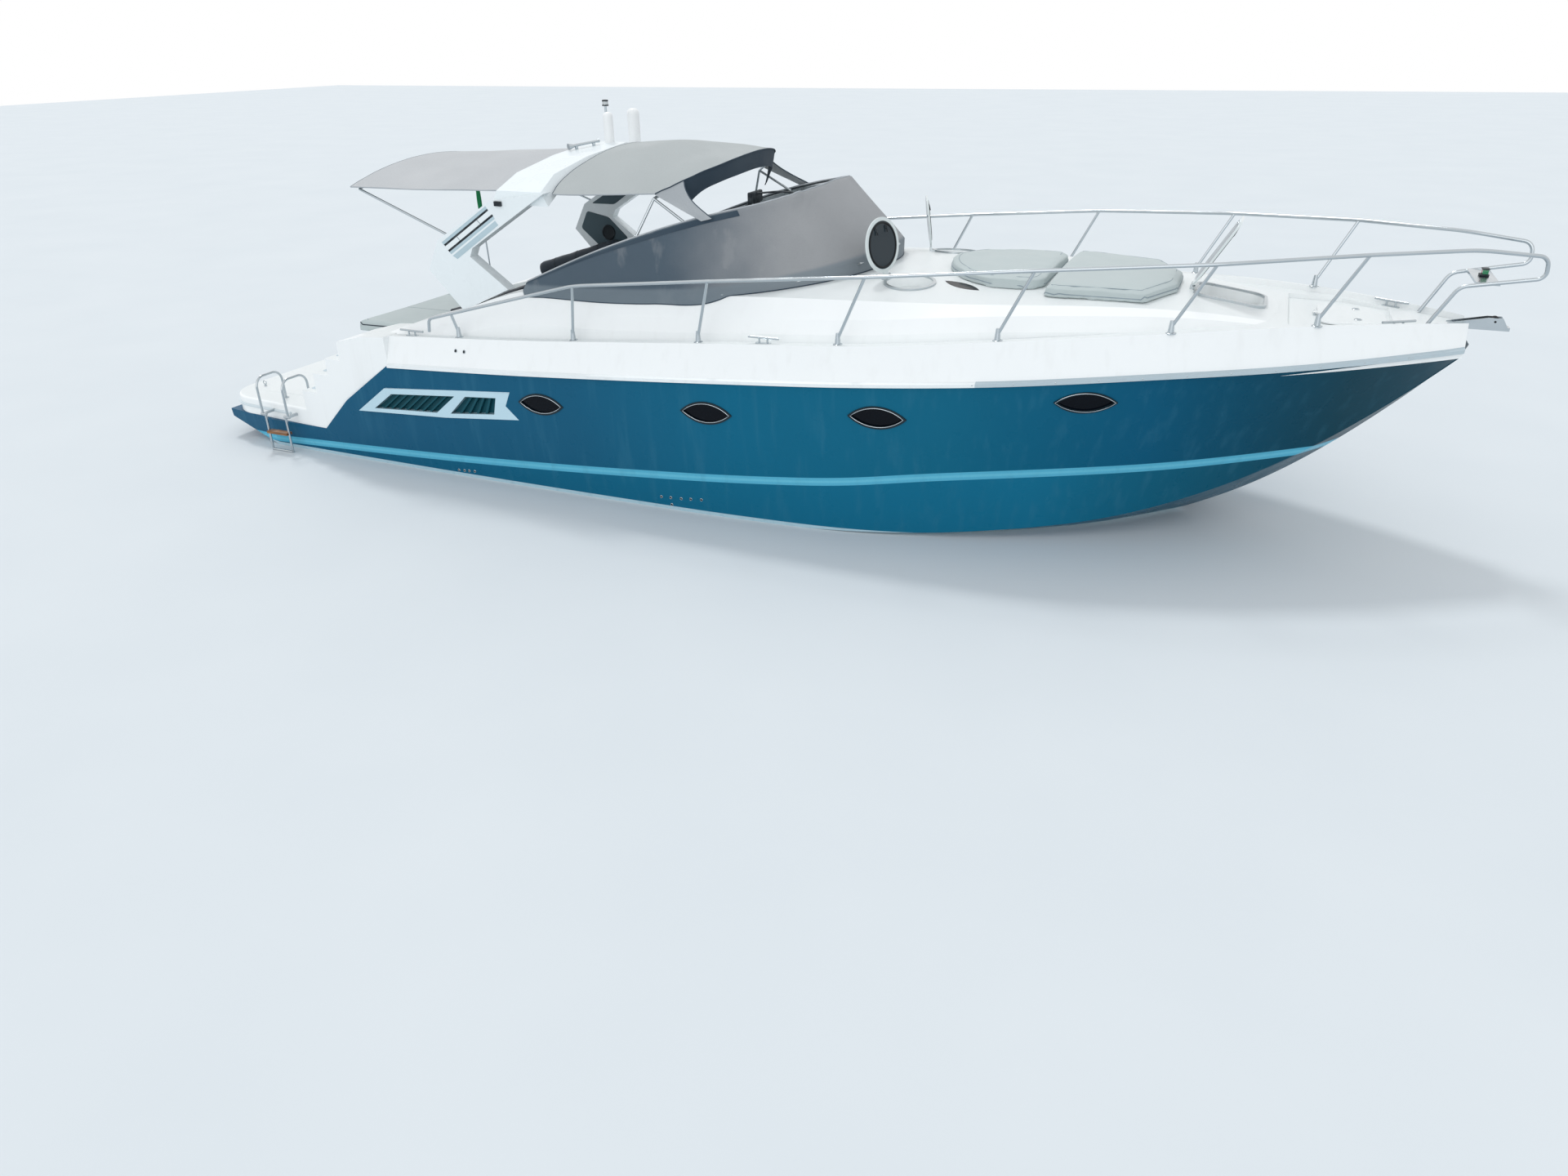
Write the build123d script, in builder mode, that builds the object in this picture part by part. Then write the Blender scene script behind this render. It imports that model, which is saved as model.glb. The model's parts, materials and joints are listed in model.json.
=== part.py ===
from build123d import *
import math
import os

# An open sports cruiser, afloat. The origin is amidships on the centreline at the waterline,
# +X to the bow, +Y to port, +Z up, in millimetres.

# Hull and deck lines at even stations from the transom to the bow, one row a station:
# keel_z, chine_y, chine_z, sheer_y, sheer_z, edge_y, edge_z, bulge
TRANSOM_X = -5250
STATION_STEP = 1120
LINES = (
    (-540, 1640, -30, 1700, 1005, 1600, 1250, 25),
    (-600, 1672, -30, 1752, 1058, 1660, 1320, 28),
    (-655, 1695, -30, 1790, 1115, 1700, 1393, 30),
    (-685, 1708, -27, 1812, 1175, 1718, 1460, 30),
    (-697, 1710, -20, 1823, 1247, 1725, 1542, 30),
    (-700, 1695, -10, 1825, 1325, 1724, 1625, 27),
    (-675, 1600, 15, 1812, 1408, 1712, 1703, 18),
    (-535, 1300, 80, 1730, 1506, 1635, 1818, -6),
    (-150, 860, 250, 1405, 1585, 1310, 1895, -20),
    (480, 330, 690, 905, 1640, 812, 1935, -24),
    (1590, 110, 1625, 250, 1712, 140, 1900, -2),
)
STEM_X = 6000
STEM_LINES = (1690, 20, 1700, 70, 1722, 40, 1850, -1)
CHINE_FLAT = 0.035  # width of the flat under the chine, as a share of the chine half-beam
CHINE_DROP = 12
REACH = 3000  # past every side of the boat, for cuts and probes
CUT_PAST = 50
FOOT_IN = 0.96  # foot of the deck moulding inside the hull, as a share of the sheer half-beam
FOOT_DOWN = 60
FLANGE_DOWN = 30
TOE_IN = 0.95  # inside of the toe rail's cap, as a share of the deck edge's half-beam
TOE_FOOT_IN = 0.985
DECK_CAMBER = 0.015  # rise at the middle, as a share of the half-beam
TOE_HEIGHT = 45
SHEER_LIP = 12

# The topsides end aft in a diagonal step down to the platform: x, z
STEP_TOP = (-3400, 1100)
STEP_KNEE = (-4050, 660)
STEP_FOOT = (-4450, 300)
PLATFORM_UNDER_Z = STEP_FOOT[1]
PLATFORM_THICK = 180
PLATFORM_TOP_Z = PLATFORM_UNDER_Z + PLATFORM_THICK
PLATFORM_AFT_X = -6000
PLATFORM_FORE_X = -4700
PLATFORM_AFT_HALF = 1560
PLATFORM_CORNER_R = 420
PLATFORM_EDGE_R = 25
# Counter under the platform, at its aft end and at the transom: x, low half width, low z, high half width
COUNTER = ((-5985, 1530, 210, 1540), (-5240, 1640, -10, 1665))

# Raised tread panels with round corners: low x, low y, high x, high y
PLATFORM_PANEL = (-5880, -1330, -4770, 1330)
SOLE_PANEL = (-3000, -1060, -2020, 540)
PANEL_LIFT = 4
PANEL_CORNER_R = 120

# Coachroof and coamings at even stations from the stern to the foredeck, one row a station:
# foot_y, shoulder_y, shoulder_z, top_y, top_z, crown_z
ROOF_AFT_X = -3700
ROOF_FOOT_OUT = 20
ROOF_FOOT_DOWN = 250
COAMING_DOWN = 110
ROOF_STEP = 860
ROOF_LINES = (
    (1640, 1620, 1310, 1560, 1335, 1346),
    (1585, 1530, 1480, 1440, 1570, 1591),
    (1540, 1470, 1670, 1370, 1830, 1851),
    (1520, 1450, 1690, 1360, 1855, 1911),
    (1512, 1442, 1735, 1345, 1915, 2011),
    (1505, 1435, 1790, 1325, 1955, 2066),
    (1490, 1420, 1850, 1300, 1980, 2086),
    (1410, 1335, 1925, 1200, 1995, 2061),
    (1210, 1130, 1955, 1000, 2005, 2049),
    (900, 825, 1930, 700, 1955, 1986),
    (560, 500, 1810, 420, 1820, 1831),
)

# Cockpit well
WELL_AFT_X = -3550
WELL_FORE_X = -600
WELL_HALF = 1150
SOLE_Z = 700
SOLE_THICK = 80
LINER = 100
BAY_AFT_X = -4300
BAY_FORE_X = -2300
BAY_FLOOR_Z = -180
BAY_HALF = 950
SUNPAD_BASE_Z = 1180
BAY_LAP = 20

# Stern moulding: tread x and z from the side deck down to the platform
STERN_TREADS = ((-4060, 1260), (-4270, 1070), (-4490, 890), (-4700, 680))
STERN_HALF_AFT = 1690
STERN_HALF_FORE = 1775
STERN_TOP_Z = 1370
STERN_BREAK = (-3720, 1345)

# Round and almond lights in the topsides: x, z
PORTHOLES = ((-1610, 905), (120, 1020), (1670, 1140), (3290, 1360))
PORT_LENGTH = 500
PORT_HEIGHT = 205
PORT_RIM = 18
PORT_PROUD = 8
PORT_DEPTH = 26

PANE_SUNK = 10

# Rub rail section from the sheer: out, up
RUB_PROFILE = ((2, -24), (34, -14), (34, 14), (-6, 30))

# Engine room vent in the topsides: outline and two openings as x and z, corner by corner
VENT_OUTLINE = ((-3860, 590), (-3480, 860), (-1950, 985), (-2020, 840), (-1890, 715), (-2760, 640))
VENT_OPENINGS = (
    ((-3640, 640), (-3400, 810), (-2620, 870), (-2860, 680)),
    ((-2690, 690), (-2490, 880), (-2130, 905), (-2170, 740)),
)
VENT_SLATS = (7, 4)
VENT_MIDDLE_Z = 760
VENT_PROUD = 14
VENT_DEPTH = 45
VENT_BACK = 12
VENT_OVERLAP = 4
SLAT = 26

# Windscreen posts from the aft end round to the middle: base x, y, z and top x, y, z
SCREEN_POSTS = (
    ((-1950, 1375, 1850), (-1900, 1372, 1925)),
    ((-1350, 1370, 1865), (-1250, 1350, 2190)),
    ((-600, 1365, 1895), (-640, 1300, 2400)),
    ((80, 1330, 1960), (-180, 1160, 2530)),
    ((680, 1050, 2060), (270, 960, 2630)),
    ((1080, 620, 2150), (560, 560, 2700)),
    ((1240, 0, 2225), (660, 0, 2740)),
)
# Shares of the posts' height where the frame's foot, the sill and the head rail begin
SCREEN_FOOT = -0.04
SCREEN_SILL = 0.06
SCREEN_HEAD = 0.9
SCREEN_INSIDE = (-1500, 0, 1800)
GLASS_THICK = 8
SCREEN_RAIL = 34
COVER_THICK = 6
COVER_GAP = 0.3
RAIL_IN = 6

# Arch side profile (x, z) of a leg, from the aft foot round to the fore foot
ARCH_LEG = (
    (-2700, 1600), (-3050, 1970), (-2900, 2250), (-2230, 2640),
    (-1640, 2720), (-2500, 2200), (-2540, 2120), (-2150, 1840),
)
ARCH_LEG_Y = 1310
ARCH_LEG_THICK = 120
# Arch beam sections: y, aft_x, fore_x, low_z, high_z
ARCH_BEAM = (
    (1310, -2260, -1640, 2600, 2720),
    (1050, -2200, -1650, 2735, 2850),
    (600, -2080, -1560, 2860, 2965),
    (0, -1990, -1480, 2925, 3040),
)
BEAM_BEVEL = 70
# Long slots sunk in the arch legs' outer faces, x and z corner by corner
ARCH_SLOTS = (
    ((-2850, 2235), (-2290, 2588), (-2262, 2550), (-2815, 2200)),
    ((-2790, 2165), (-2225, 2520), (-2200, 2480), (-2755, 2130)),
)
SLOT_DEPTH = 14

# Canopy sections: x, half width, side z, crown z
AFT_CANOPY = ((-3920, 1290, 2690, 2880), (-3000, 1300, 2700, 2930), (-2160, 1260, 2715, 2960))
FORE_CANOPY = (
    (-1560, 1230, 2700, 3030), (-1000, 1220, 2720, 3075), (-420, 1130, 2740, 3040), (-80, 1060, 2752, 3008),
)
# Curved front edge of the fore canopy in plan, from its corner to its middle: x, y
CANOPY_CORNER = (-620, 1165)
CANOPY_NOSE = (-100, 0)
CANOPY_THICK = 10

# Guard rails: x, y, z along the tube from aft to the pulpit's foot, and the radius of the bend there
RAIL_POINTS = (
    (-2900, 1680, 1450, 0), (-2880, 1682, 1575, 60), (-1190, 1735, 2010, 1500), (150, 1745, 2140, 1500),
    (1530, 1735, 2260, 1500), (2830, 1620, 2370, 1500), (4090, 1320, 2440, 1500),
    (5100, 870, 2490, 1200), (5850, 460, 2500, 900), (6310, 330, 2455, 80), (6330, 320, 2300, 60),
    (5800, 290, 2200, 110), (5640, 270, 1880, 0),
)
RAIL_TUBE_R = 15
# Stanchion feet and heads: foot x, foot y, head x, head y, head z
STANCHIONS = (
    (-2570, 1655, -2610, 1690, 1680),
    (-1280, 1660, -1190, 1735, 2010),
    (0, 1665, 150, 1745, 2140),
    (1280, 1655, 1530, 1735, 2260),
    (2580, 1590, 2830, 1620, 2370),
    (3830, 1240, 4090, 1320, 2440),
    (4850, 780, 5100, 870, 2490),
)
# Plate bridging the pulpit's lower returns: x, y
PULPIT_OUTLINE = ((5900, -285), (5900, 285), (6060, 295), (6060, -295))
PULPIT_Z = 2222
PULPIT_THICK = 18
STANCHION_TUBE_R = 13
STANCHION_FOOT_R = 26
STANCHION_FOOT_H = 95
STANCHION_NECK_R = 16
STANCHION_SUNK = 10
SADDLE_GAP = 0.3

# Running gear
SHAFT_Y = 620
SHAFT_R = 19
PROP_X = -4620
PROP_Z = -760
PROP_HUB_R = 50
PROP_HUB_LENGTH = 130
BLADES = 4
RUDDER_X = -5020
RUDDER_Y = 560
RUDDER_TOP_Z = -470
RUDDER_HEIGHT = 480
RUDDER_CHORD = 380
RUDDER_STOCK_R = 18
RUDDER_THICK = 42
RUDDER_BALANCE = 0.16
STOCK_LENGTH = 200
STOCK_FIT = 0.08
SHAFT_ANGLE = 10
SHAFT_LENGTH = 2250
SHAFT_FIT = 0.08
PROP_CONE = 60
# Blade sections from the root out: radius, chord, pitch angle
BLADE_ROWS = ((42, 110, 62), (150, 190, 42), (235, 160, 30), (268, 60, 27))
BLADE_THICK = 12
# Blade section outline as shares of chord and thickness
BLADE_OUTLINE = (
    (-0.5, -0.1), (-0.25, -0.5), (0.25, -0.5), (0.5, -0.1),
    (0.5, 0.1), (0.25, 0.5), (-0.25, 0.5), (-0.5, 0.1),
)
BRACKET_X = -4420
BRACKET_LENGTH = 110
BRACKET_WALL = 16
BRACKET_FIN = (46, 12)  # half length and half thickness of the strut's section
BRACKET_STRUT = 480
TAB_Y = 1080
TAB_UP = 18
TAB_WIDTH = 560
TAB_LENGTH = 270
TAB_THICK = 8
TAB_HINGE_R = 9
TAB_GAP = 6
CLEARANCE = 6
STERN_TUBE = 300

# Canopy frame: struts from x, y, z to x, y, z on each side, and hoops as
# foot x, half width, foot z, crown x, crown z
FRAME_TUBE_R = 12
CANOPY_STRUTS = (
    ((-3860, 1240, 2665), (-2800, 1290, 2280)),
    ((-640, 1150, 2690), (-780, 1308, 2344)),
    ((-640, 1150, 2690), (-300, 1192, 2494)),
)
CANOPY_HOOPS = (
    (-3860, 1240, 2665, -3860, 2850),
    (-640, 1150, 2690, -150, 2970),
)

# Hinges: a barrel on the moving piece between two fixed ears
BARREL_R = 9
BARREL_LENGTH = 60
EAR_LENGTH = 26
EAR_GAP = 0.3
HINGE_BACK = 24  # from a lid's edge back to its hinge axis

# Deck hatches: name, centre x, centre y, heading, length, width, corner radius, angle they stand open at
HATCHES = (
    ("starboard", 1620, -790, -18, 460, 460, 229, 100),
    ("port", 1620, 790, 18, 460, 460, 229, 100),
    ("fore", 4190, 0, 0, 600, 560, 130, 68),
)
RING_IN = 5  # from a lid's edge in to its ring's edge
RING_WIDTH = 25
RING_PROUD = 14
RING_SUNK = 12
LID_THICK = 16
LID_EDGE_R = 5
HATCH_DEPTH = 90
HINGE_REACH = 20
TRIM = 100  # past a small fitting on every side, for its trimming cuts

# Anchor pan sunk in the foredeck and its locker lid: x and half width
PAN_Z = 1858
PAN_OUTLINE = ((4650, 600), (5080, 560), (5420, 330))
LOCKER_OUTLINE = ((4880, 400), (5380, 265))
LOCKER_CORNER_R = 120
LOCKER_LIP = 32
LOCKER_DEPTH = 110

# Bow roller
ROLLER_AFT_X = 5600
ROLLER_FORE_X = 6250
ROLLER_X = 6140
ROLLER_Z = 1905
ROLLER_R = 34
ROLLER_HALF = 30
ROLLER_CHEEK_Y = 36
ROLLER_CHEEK = 6
ROLLER_PLATE_Z = 1838
ROLLER_PLATE = 26
ROLLER_PIN_R = 8
ROLLER_PIN_PAST = 4
# Side profile of the roller's cheeks: x, z
CHEEK_PROFILE = ((5800, 1838), (6250, 1838), (6190, 1933), (6090, 1933), (5820, 1876))
PIN_FIT = 0.06

# Cleats: x, y, turn about the vertical, on both sides
CLEATS = ((5440, 392, -31), (620, 1672, 1), (-3140, 1650, 2))
CLEAT_LENGTH = 280
CLEAT_R = 10
CLEAT_LEG_Y = 38
CLEAT_LEG_R = 8
CLEAT_RISE = 48
CLEAT_BASE = (140, 40)
CLEAT_BASE_H = 6
CLEAT_SUNK = 8

# Skylights in the coachroof: x, y, turn
SKYLIGHTS = ((2065, 735, 28),)
SKYLIGHT_LENGTH = 390
SKYLIGHT_HEIGHT = 130
SKYLIGHT_DEPTH = 12
SKYLIGHT_PROUD = 2

# Foredeck sunpads
PAD_THICK = 84
PAD_LIFT = 0.5
PAD_MIDDLE_X = 2753
PAD_GAP = 12
AFT_PAD_NOSE_X = 1790
AFT_PAD_SHOULDER_X = 2300
AFT_PAD_HALF = 720
FORE_PAD_OUTLINE = ((2765, 880), (2900, 895), (3580, 770), (3795, 270))
PAD_CORNER_R = 60
AFT_PAD_CORNER_R = 200
PAD_BLANK = 400

# Cockpit fittings as boxes: low x, y, z and high x, y, z
COCKPIT_BASES = (
    ((-3550, 600, 700), (-1620, 1150, 1000)),
    ((-3550, -620, 700), (-3060, 600, 1000)),
    ((-1960, -1150, 700), (-1560, -230, 1230)),
)
COCKPIT_PADS = (
    ((-3540, 612, 1000), (-1630, 1140, 1085)),
    ((-3540, -610, 1000), (-3070, 606, 1085)),
    ((-3449.7, 1050, 1085.3), (-1660, 1142, 1440)),
    ((-3542, -610, 1085.3), (-3450, 1142, 1400)),
    ((-1955, -1140, 1230), (-1570, -240, 1320)),
    ((-1955, -1140, 1320.3), (-1865, -240, 1640)),
)
STERN_PAD = ((-4440, -1010, 1180), (-3565, 1100, 1282))
PAD_EDGE_R = 26
HELM_PROFILE = (
    (-602, 700), (-602, 1750), (-760, 1768), (-860, 1720), (-1000, 1420), (-960, 1250), (-960, 700),
)
HELM_Y = (-1148, -220)
WHEEL_CENTRE = (-1120, -650, 1500)
WHEEL_TILT = 25
WHEEL_R = 185
WHEEL_TUBE_R = 14
WHEEL_SPOKES = 3
WHEEL_HUB_R = 34
WHEEL_HUB_LENGTH = 36
COLUMN_R = 14
COLUMN_LENGTH = 200

# Companionway: recess with two steps, and its sliding door
ENTRY_Y = (-20, 520)
ENTRY_PROFILE = (
    (-601, 1750), (-601, 700), (-560, 700), (-560, 480), (-300, 480), (-300, 260), (300, 260), (300, 1750),
)
DOOR_BOX = ((-632, -55, 712.3), (-607, 555, 1764))
TRACK_LIP = 6
TRACK_GAP = 7
DOOR_TRAVEL = 500
# Tracks of the door: low z, high z, and the same of the lip in front
DOOR_TRACKS = ((700, 712, 700, 724), (1771, 1783, 1752, 1783))

# Engines in the bay
ENGINE_X = (-3450, -2400)
ENGINE_HALF = 310
ENGINE_TOP_Z = 560

# Boarding ladder hung outboard of the platform, and the two hoops it hinges on
LADDER_RAILS_X = (-5180, -4900)
LADDER_Y = -1800
LADDER_HINGE_Z = 400
LADDER_FOOT_Z = -620
LADDER_RUNGS_Z = (10, -245, -500)
LADDER_TUBE_R = 12.5
LADDER_KNUCKLE_R = 16
LADDER_KNUCKLE = 30
HANDLE_OFF = 36
HANDLE_INNER_Y = -1450
HANDLE_TOP_Z = 790
HANDLE_BEND_R = 110
HANDLE_FOOT_R = 32
HANDLE_FOOT_H = 8
TREAD_Z = 225
TREAD_DEPTH = 75
TREAD_THICK = 26

# Mast and domes on the arch
MAST_X = -1830
MAST_Y = 120
MAST_R = 12
MAST_Z = (3020, 3360)
LANTERN_R = 28
LANTERN_H = 50
DOMES = ((-1740, 0, 48, 290), (-1800, 600, 62, 290))
DOME_ROUND = 0.8
DOME_SUNK = 60


def fair(first_x, step, lines, parts):
    """Stations with x first, and smooth ones worked out between those of the table."""
    count = len(lines)

    def column(index, place):
        if index < 0:
            return 3 * lines[0][place] - 3 * lines[1][place] + lines[2][place]
        if index >= count:
            return 3 * lines[-1][place] - 3 * lines[-2][place] + lines[-3][place]
        return lines[index][place]

    rows = []
    for index in range(count - 1):
        for part in range(parts):
            t = part / parts
            row = [first_x + (index + t) * step]
            for place in range(len(lines[0])):
                before, here, there, after = (column(index + shift, place) for shift in (-1, 0, 1, 2))
                row.append(0.5 * (2 * here + (there - before) * t
                                  + (2 * before - 5 * here + 4 * there - after) * t ** 2
                                  + (3 * here - before - 3 * there + after) * t ** 3))
            rows.append(tuple(row))
    rows.append((first_x + (count - 1) * step, *lines[-1]))
    return rows


STATIONS = fair(TRANSOM_X, STATION_STEP, LINES, 3)
ROOF = fair(ROOF_AFT_X, ROOF_STEP, ROOF_LINES, 2)


def section(row):
    """Hull section at one station, closed along the sheer."""
    x, keel_z, chine_y, chine_z, sheer_y, sheer_z, edge_y, edge_z, bulge = row
    inner_y = chine_y * (1 - CHINE_FLAT)
    middle_y = (chine_y + sheer_y) / 2 + bulge
    middle_z = (chine_z + sheer_z) / 2
    with BuildSketch(Plane.YZ.offset(x)) as sketch:
        with BuildLine():
            for side in (1, -1):
                Line((0, keel_z), (side * inner_y, chine_z - CHINE_DROP))
                Line((side * inner_y, chine_z - CHINE_DROP), (side * chine_y, chine_z))
                ThreePointArc((side * chine_y, chine_z), (side * middle_y, middle_z),
                              (side * sheer_y, sheer_z))
            Line((sheer_y, sheer_z), (-sheer_y, sheer_z))
        make_face()
    return sketch.sketch


def deck_section(row):
    """Deck moulding section at one station, with its foot inside the hull."""
    x, keel_z, chine_y, chine_z, sheer_y, sheer_z, edge_y, edge_z, bulge = row
    foot_z = sheer_z - FOOT_DOWN
    foot_y = sheer_y * FOOT_IN
    toe_y = edge_y * TOE_IN
    inner_y = toe_y * TOE_FOOT_IN
    deck_z = edge_z - TOE_HEIGHT
    with BuildSketch(Plane.YZ.offset(x)) as sketch:
        with BuildLine():
            for side in (1, -1):
                Polyline(
                    (side * foot_y, foot_z),
                    (side * foot_y, sheer_z - FLANGE_DOWN),
                    (side * (sheer_y + SHEER_LIP), sheer_z),
                    (side * edge_y, edge_z),
                    (side * toe_y, edge_z),
                    (side * inner_y, deck_z),
                )
            Line((foot_y, foot_z), (-foot_y, foot_z))
            ThreePointArc((inner_y, deck_z), (0, deck_z + inner_y * DECK_CAMBER), (-inner_y, deck_z))
        make_face()
    return sketch.sketch


def roof_section(row):
    """Coaming and coachroof section at one station, with its foot inside the deck."""
    x, foot_y, shoulder_y, shoulder_z, top_y, top_z, crown_z = row
    foot_z = shoulder_z - ROOF_FOOT_DOWN
    with BuildSketch(Plane.YZ.offset(x)) as sketch:
        with BuildLine():
            for side in (1, -1):
                Polyline(
                    (side * (foot_y + ROOF_FOOT_OUT), foot_z),
                    (side * foot_y, shoulder_z - COAMING_DOWN),
                    (side * shoulder_y, shoulder_z),
                    (side * top_y, top_z),
                )
            Line((foot_y + ROOF_FOOT_OUT, foot_z), (-foot_y - ROOF_FOOT_OUT, foot_z))
            ThreePointArc((top_y, top_z), (0, crown_z), (-top_y, top_z))
        make_face()
    return sketch.sketch


def polygon(plane, points):
    """Closed straight-sided outline on a plane."""
    with BuildSketch(plane) as sketch:
        with BuildLine():
            Polyline(*points, close=True)
        make_face()
    return sketch.sketch


def box(low, high):
    """Block between two corners, kept out of the context."""
    size = [b - a for a, b in zip(low, high)]
    centre = [(a + b) / 2 for a, b in zip(low, high)]
    return Pos(*centre) * Solid.make_box(*size, Plane(origin=(-size[0] / 2, -size[1] / 2, -size[2] / 2)))


def save(builder, name):
    """Label a finished piece and write it."""
    builder.part.label = name
    export_step(builder.part, f"parts/{name}.step")


def tube(points, radii, radius):
    """Round bar along a path of straight runs and arcs."""
    with BuildPart() as bar:
        with BuildLine() as path:
            if len(points) > 2:
                FilletPolyline(*points, radius=radii)
            else:
                Line(*points)
        with BuildSketch(Plane(origin=path.line @ 0, z_dir=path.line % 0)):
            Circle(radius)
        sweep()
    return bar.part


def rod(plane, radius, low, high):
    """Round bar along a plane's normal between two heights, kept out of the context."""
    with BuildPart() as bar:
        with BuildSketch(plane.offset(low)):
            Circle(radius)
        extrude(amount=high - low)
    return bar.part


def cone(plane, low_radius, high_radius, low, high):
    """Tapered round bar along a plane's normal, kept out of the context."""
    ends = []
    for radius, height in ((low_radius, low), (high_radius, high)):
        with BuildSketch(plane.offset(height)) as disc:
            Circle(radius)
        ends.append(disc.sketch)
    return loft(ends, mode=Mode.PRIVATE)


def upright(x, y, z=0):
    """Level plane at a point."""
    return Plane(origin=(x, y, z), x_dir=(1, 0, 0), z_dir=(0, 0, 1))


def mirrored(shape):
    """The same piece on the other side of the boat."""
    return shape.mirror(Plane.XZ)


def hit(shape, origin, direction):
    """First point where a ray meets a piece."""
    axis = Axis(origin, direction)
    start = Vector(*origin)
    points = [point for face in shape.faces() for point, normal in face.find_intersection_points(axis)]
    ahead = [point for point in points if (point - start).dot(axis.direction) > 0]
    return min(ahead, key=lambda point: (point - start).length)


def deck_point(x, y):
    """Point on the deck or roof straight below."""
    return hit(deck.part, (x, y, REACH), (0, 0, -1))


def tilt_plane(x, y, forward=(1, 0, 0), span=60):
    """Plane on the deck at a point, its X along the deck the way of forward."""
    ahead = Vector(*forward).normalized()
    across = Vector(-ahead.Y, ahead.X, 0)
    centre = deck_point(x, y)
    run, rise = (
        deck_point(x + way.X * span, y + way.Y * span) - deck_point(x - way.X * span, y - way.Y * span)
        for way in (ahead, across))
    return Plane(origin=centre, x_dir=run, z_dir=run.cross(rise))


def side_plane(x, z, span=120):
    """Plane on the starboard topside at a point, its X forward and its Z outward."""
    fore, aft, high, low = (
        hit(hull_shell, (x + run, -REACH, z + rise), (0, 1, 0))
        for run, rise in ((span, 0), (-span, 0), (0, span), (0, -span)))
    centre = hit(hull_shell, (x, -REACH, z), (0, 1, 0))
    return Plane(origin=centre, x_dir=fore - aft, z_dir=(fore - aft).cross(high - low))


def slab(plane, low, high, size, corner, middle=(0, 0)):
    """Plate with round corners between two heights over a plane, kept out of the context."""
    with BuildPart() as plate:
        with BuildSketch(plane.offset(low)):
            with Locations(middle):
                RectangleRounded(*size, corner)
        extrude(amount=high - low)
    return plate.part


def brick(plane, low, high):
    """Block between two corners in a plane's own coordinates, kept out of the context."""
    with BuildPart() as block:
        with BuildSketch(plane.offset(low[2])):
            with Locations(((low[0] + high[0]) / 2, (low[1] + high[1]) / 2)):
                Rectangle(high[0] - low[0], high[1] - low[1])
        extrude(amount=high[2] - low[2])
    return block.part


def pin(plane, x, z, start, end, radius):
    """Round bar along a plane's Y at local x and z."""
    low = plane.from_local_coords(Vector(x, start, z))
    with BuildPart() as bar:
        with BuildSketch(Plane(origin=low, x_dir=plane.x_dir, z_dir=plane.y_dir)):
            Circle(radius)
        extrude(amount=end - start)
    return bar.part


def tread_panel(low_x, low_y, high_x, high_y, z):
    """Raised panel with round corners on a level surface."""
    middle = ((low_x + high_x) / 2, (low_y + high_y) / 2)
    size = (high_x - low_x, high_y - low_y)
    return slab(Plane.XY, z - PANEL_LIFT, z + PANEL_LIFT, size, PANEL_CORNER_R, middle)


def almond(plane, length, height):
    """Pointed oval outline."""
    with BuildSketch(plane) as sketch:
        with BuildLine():
            ThreePointArc((-length / 2, 0), (0, height / 2), (length / 2, 0))
            ThreePointArc((length / 2, 0), (0, -height / 2), (-length / 2, 0))
        make_face()
    return sketch.sketch


def screen_band(outward, thick, low, high, posts=None):
    """Wrapped band along the windscreen posts, between two shares of the posts' height."""
    rows = posts or SCREEN_POSTS
    whole = list(rows) + [
        ((bx, -by, bz), (tx, -ty, tz)) for (bx, by, bz), (tx, ty, tz) in reversed(rows[:-1])
    ]
    sections = []
    for index, (base, top) in enumerate(whole):
        before = Vector(*whole[max(index - 1, 0)][0])
        after = Vector(*whole[min(index + 1, len(whole) - 1)][0])
        run = (after - before).normalized()
        rise = (Vector(*top) - Vector(*base))
        normal = rise.cross(run).normalized()
        if normal.dot(Vector(*base) - Vector(*SCREEN_INSIDE)) < 0:
            normal = normal * -1
        frame = Plane(origin=Vector(*base), x_dir=normal, z_dir=normal.cross(rise))
        height = rise.length
        sections.append(polygon(frame, (
            (outward, low * height), (outward + thick, low * height),
            (outward + thick, high * height), (outward, high * height))))
    return loft(sections, ruled=True, mode=Mode.PRIVATE)


os.makedirs("parts", exist_ok=True)

# Hull: one loft, with the stern cut down to the platform and the well and engine bay cut out
with BuildPart() as hull:
    loft([section(row) for row in STATIONS])
    loft([section(STATIONS[-1]), section((STEM_X, *STEM_LINES))], ruled=True)
    add(loft([
        polygon(Plane.YZ.offset(x), (
            (-low_half, low_z), (low_half, low_z),
            (high_half, PLATFORM_UNDER_Z), (-high_half, PLATFORM_UNDER_Z)))
        for x, low_half, low_z, high_half in COUNTER], mode=Mode.PRIVATE))
    stern_cut = polygon(Plane.XZ, (
        (TRANSOM_X - CUT_PAST, PLATFORM_UNDER_Z), STEP_FOOT, STEP_KNEE, STEP_TOP,
        (STEP_TOP[0], REACH), (TRANSOM_X - CUT_PAST, REACH)))
    extrude(stern_cut, REACH, both=True, mode=Mode.SUBTRACT)
    add(box((BAY_AFT_X, -BAY_HALF, BAY_FLOOR_Z), (BAY_FORE_X, BAY_HALF, SOLE_Z)), mode=Mode.SUBTRACT)
    add(box((BAY_AFT_X, -WELL_HALF - LINER, SOLE_Z - SOLE_THICK),
            (WELL_FORE_X + LINER, WELL_HALF + LINER, REACH)), mode=Mode.SUBTRACT)
hull_shell = hull.part

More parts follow.
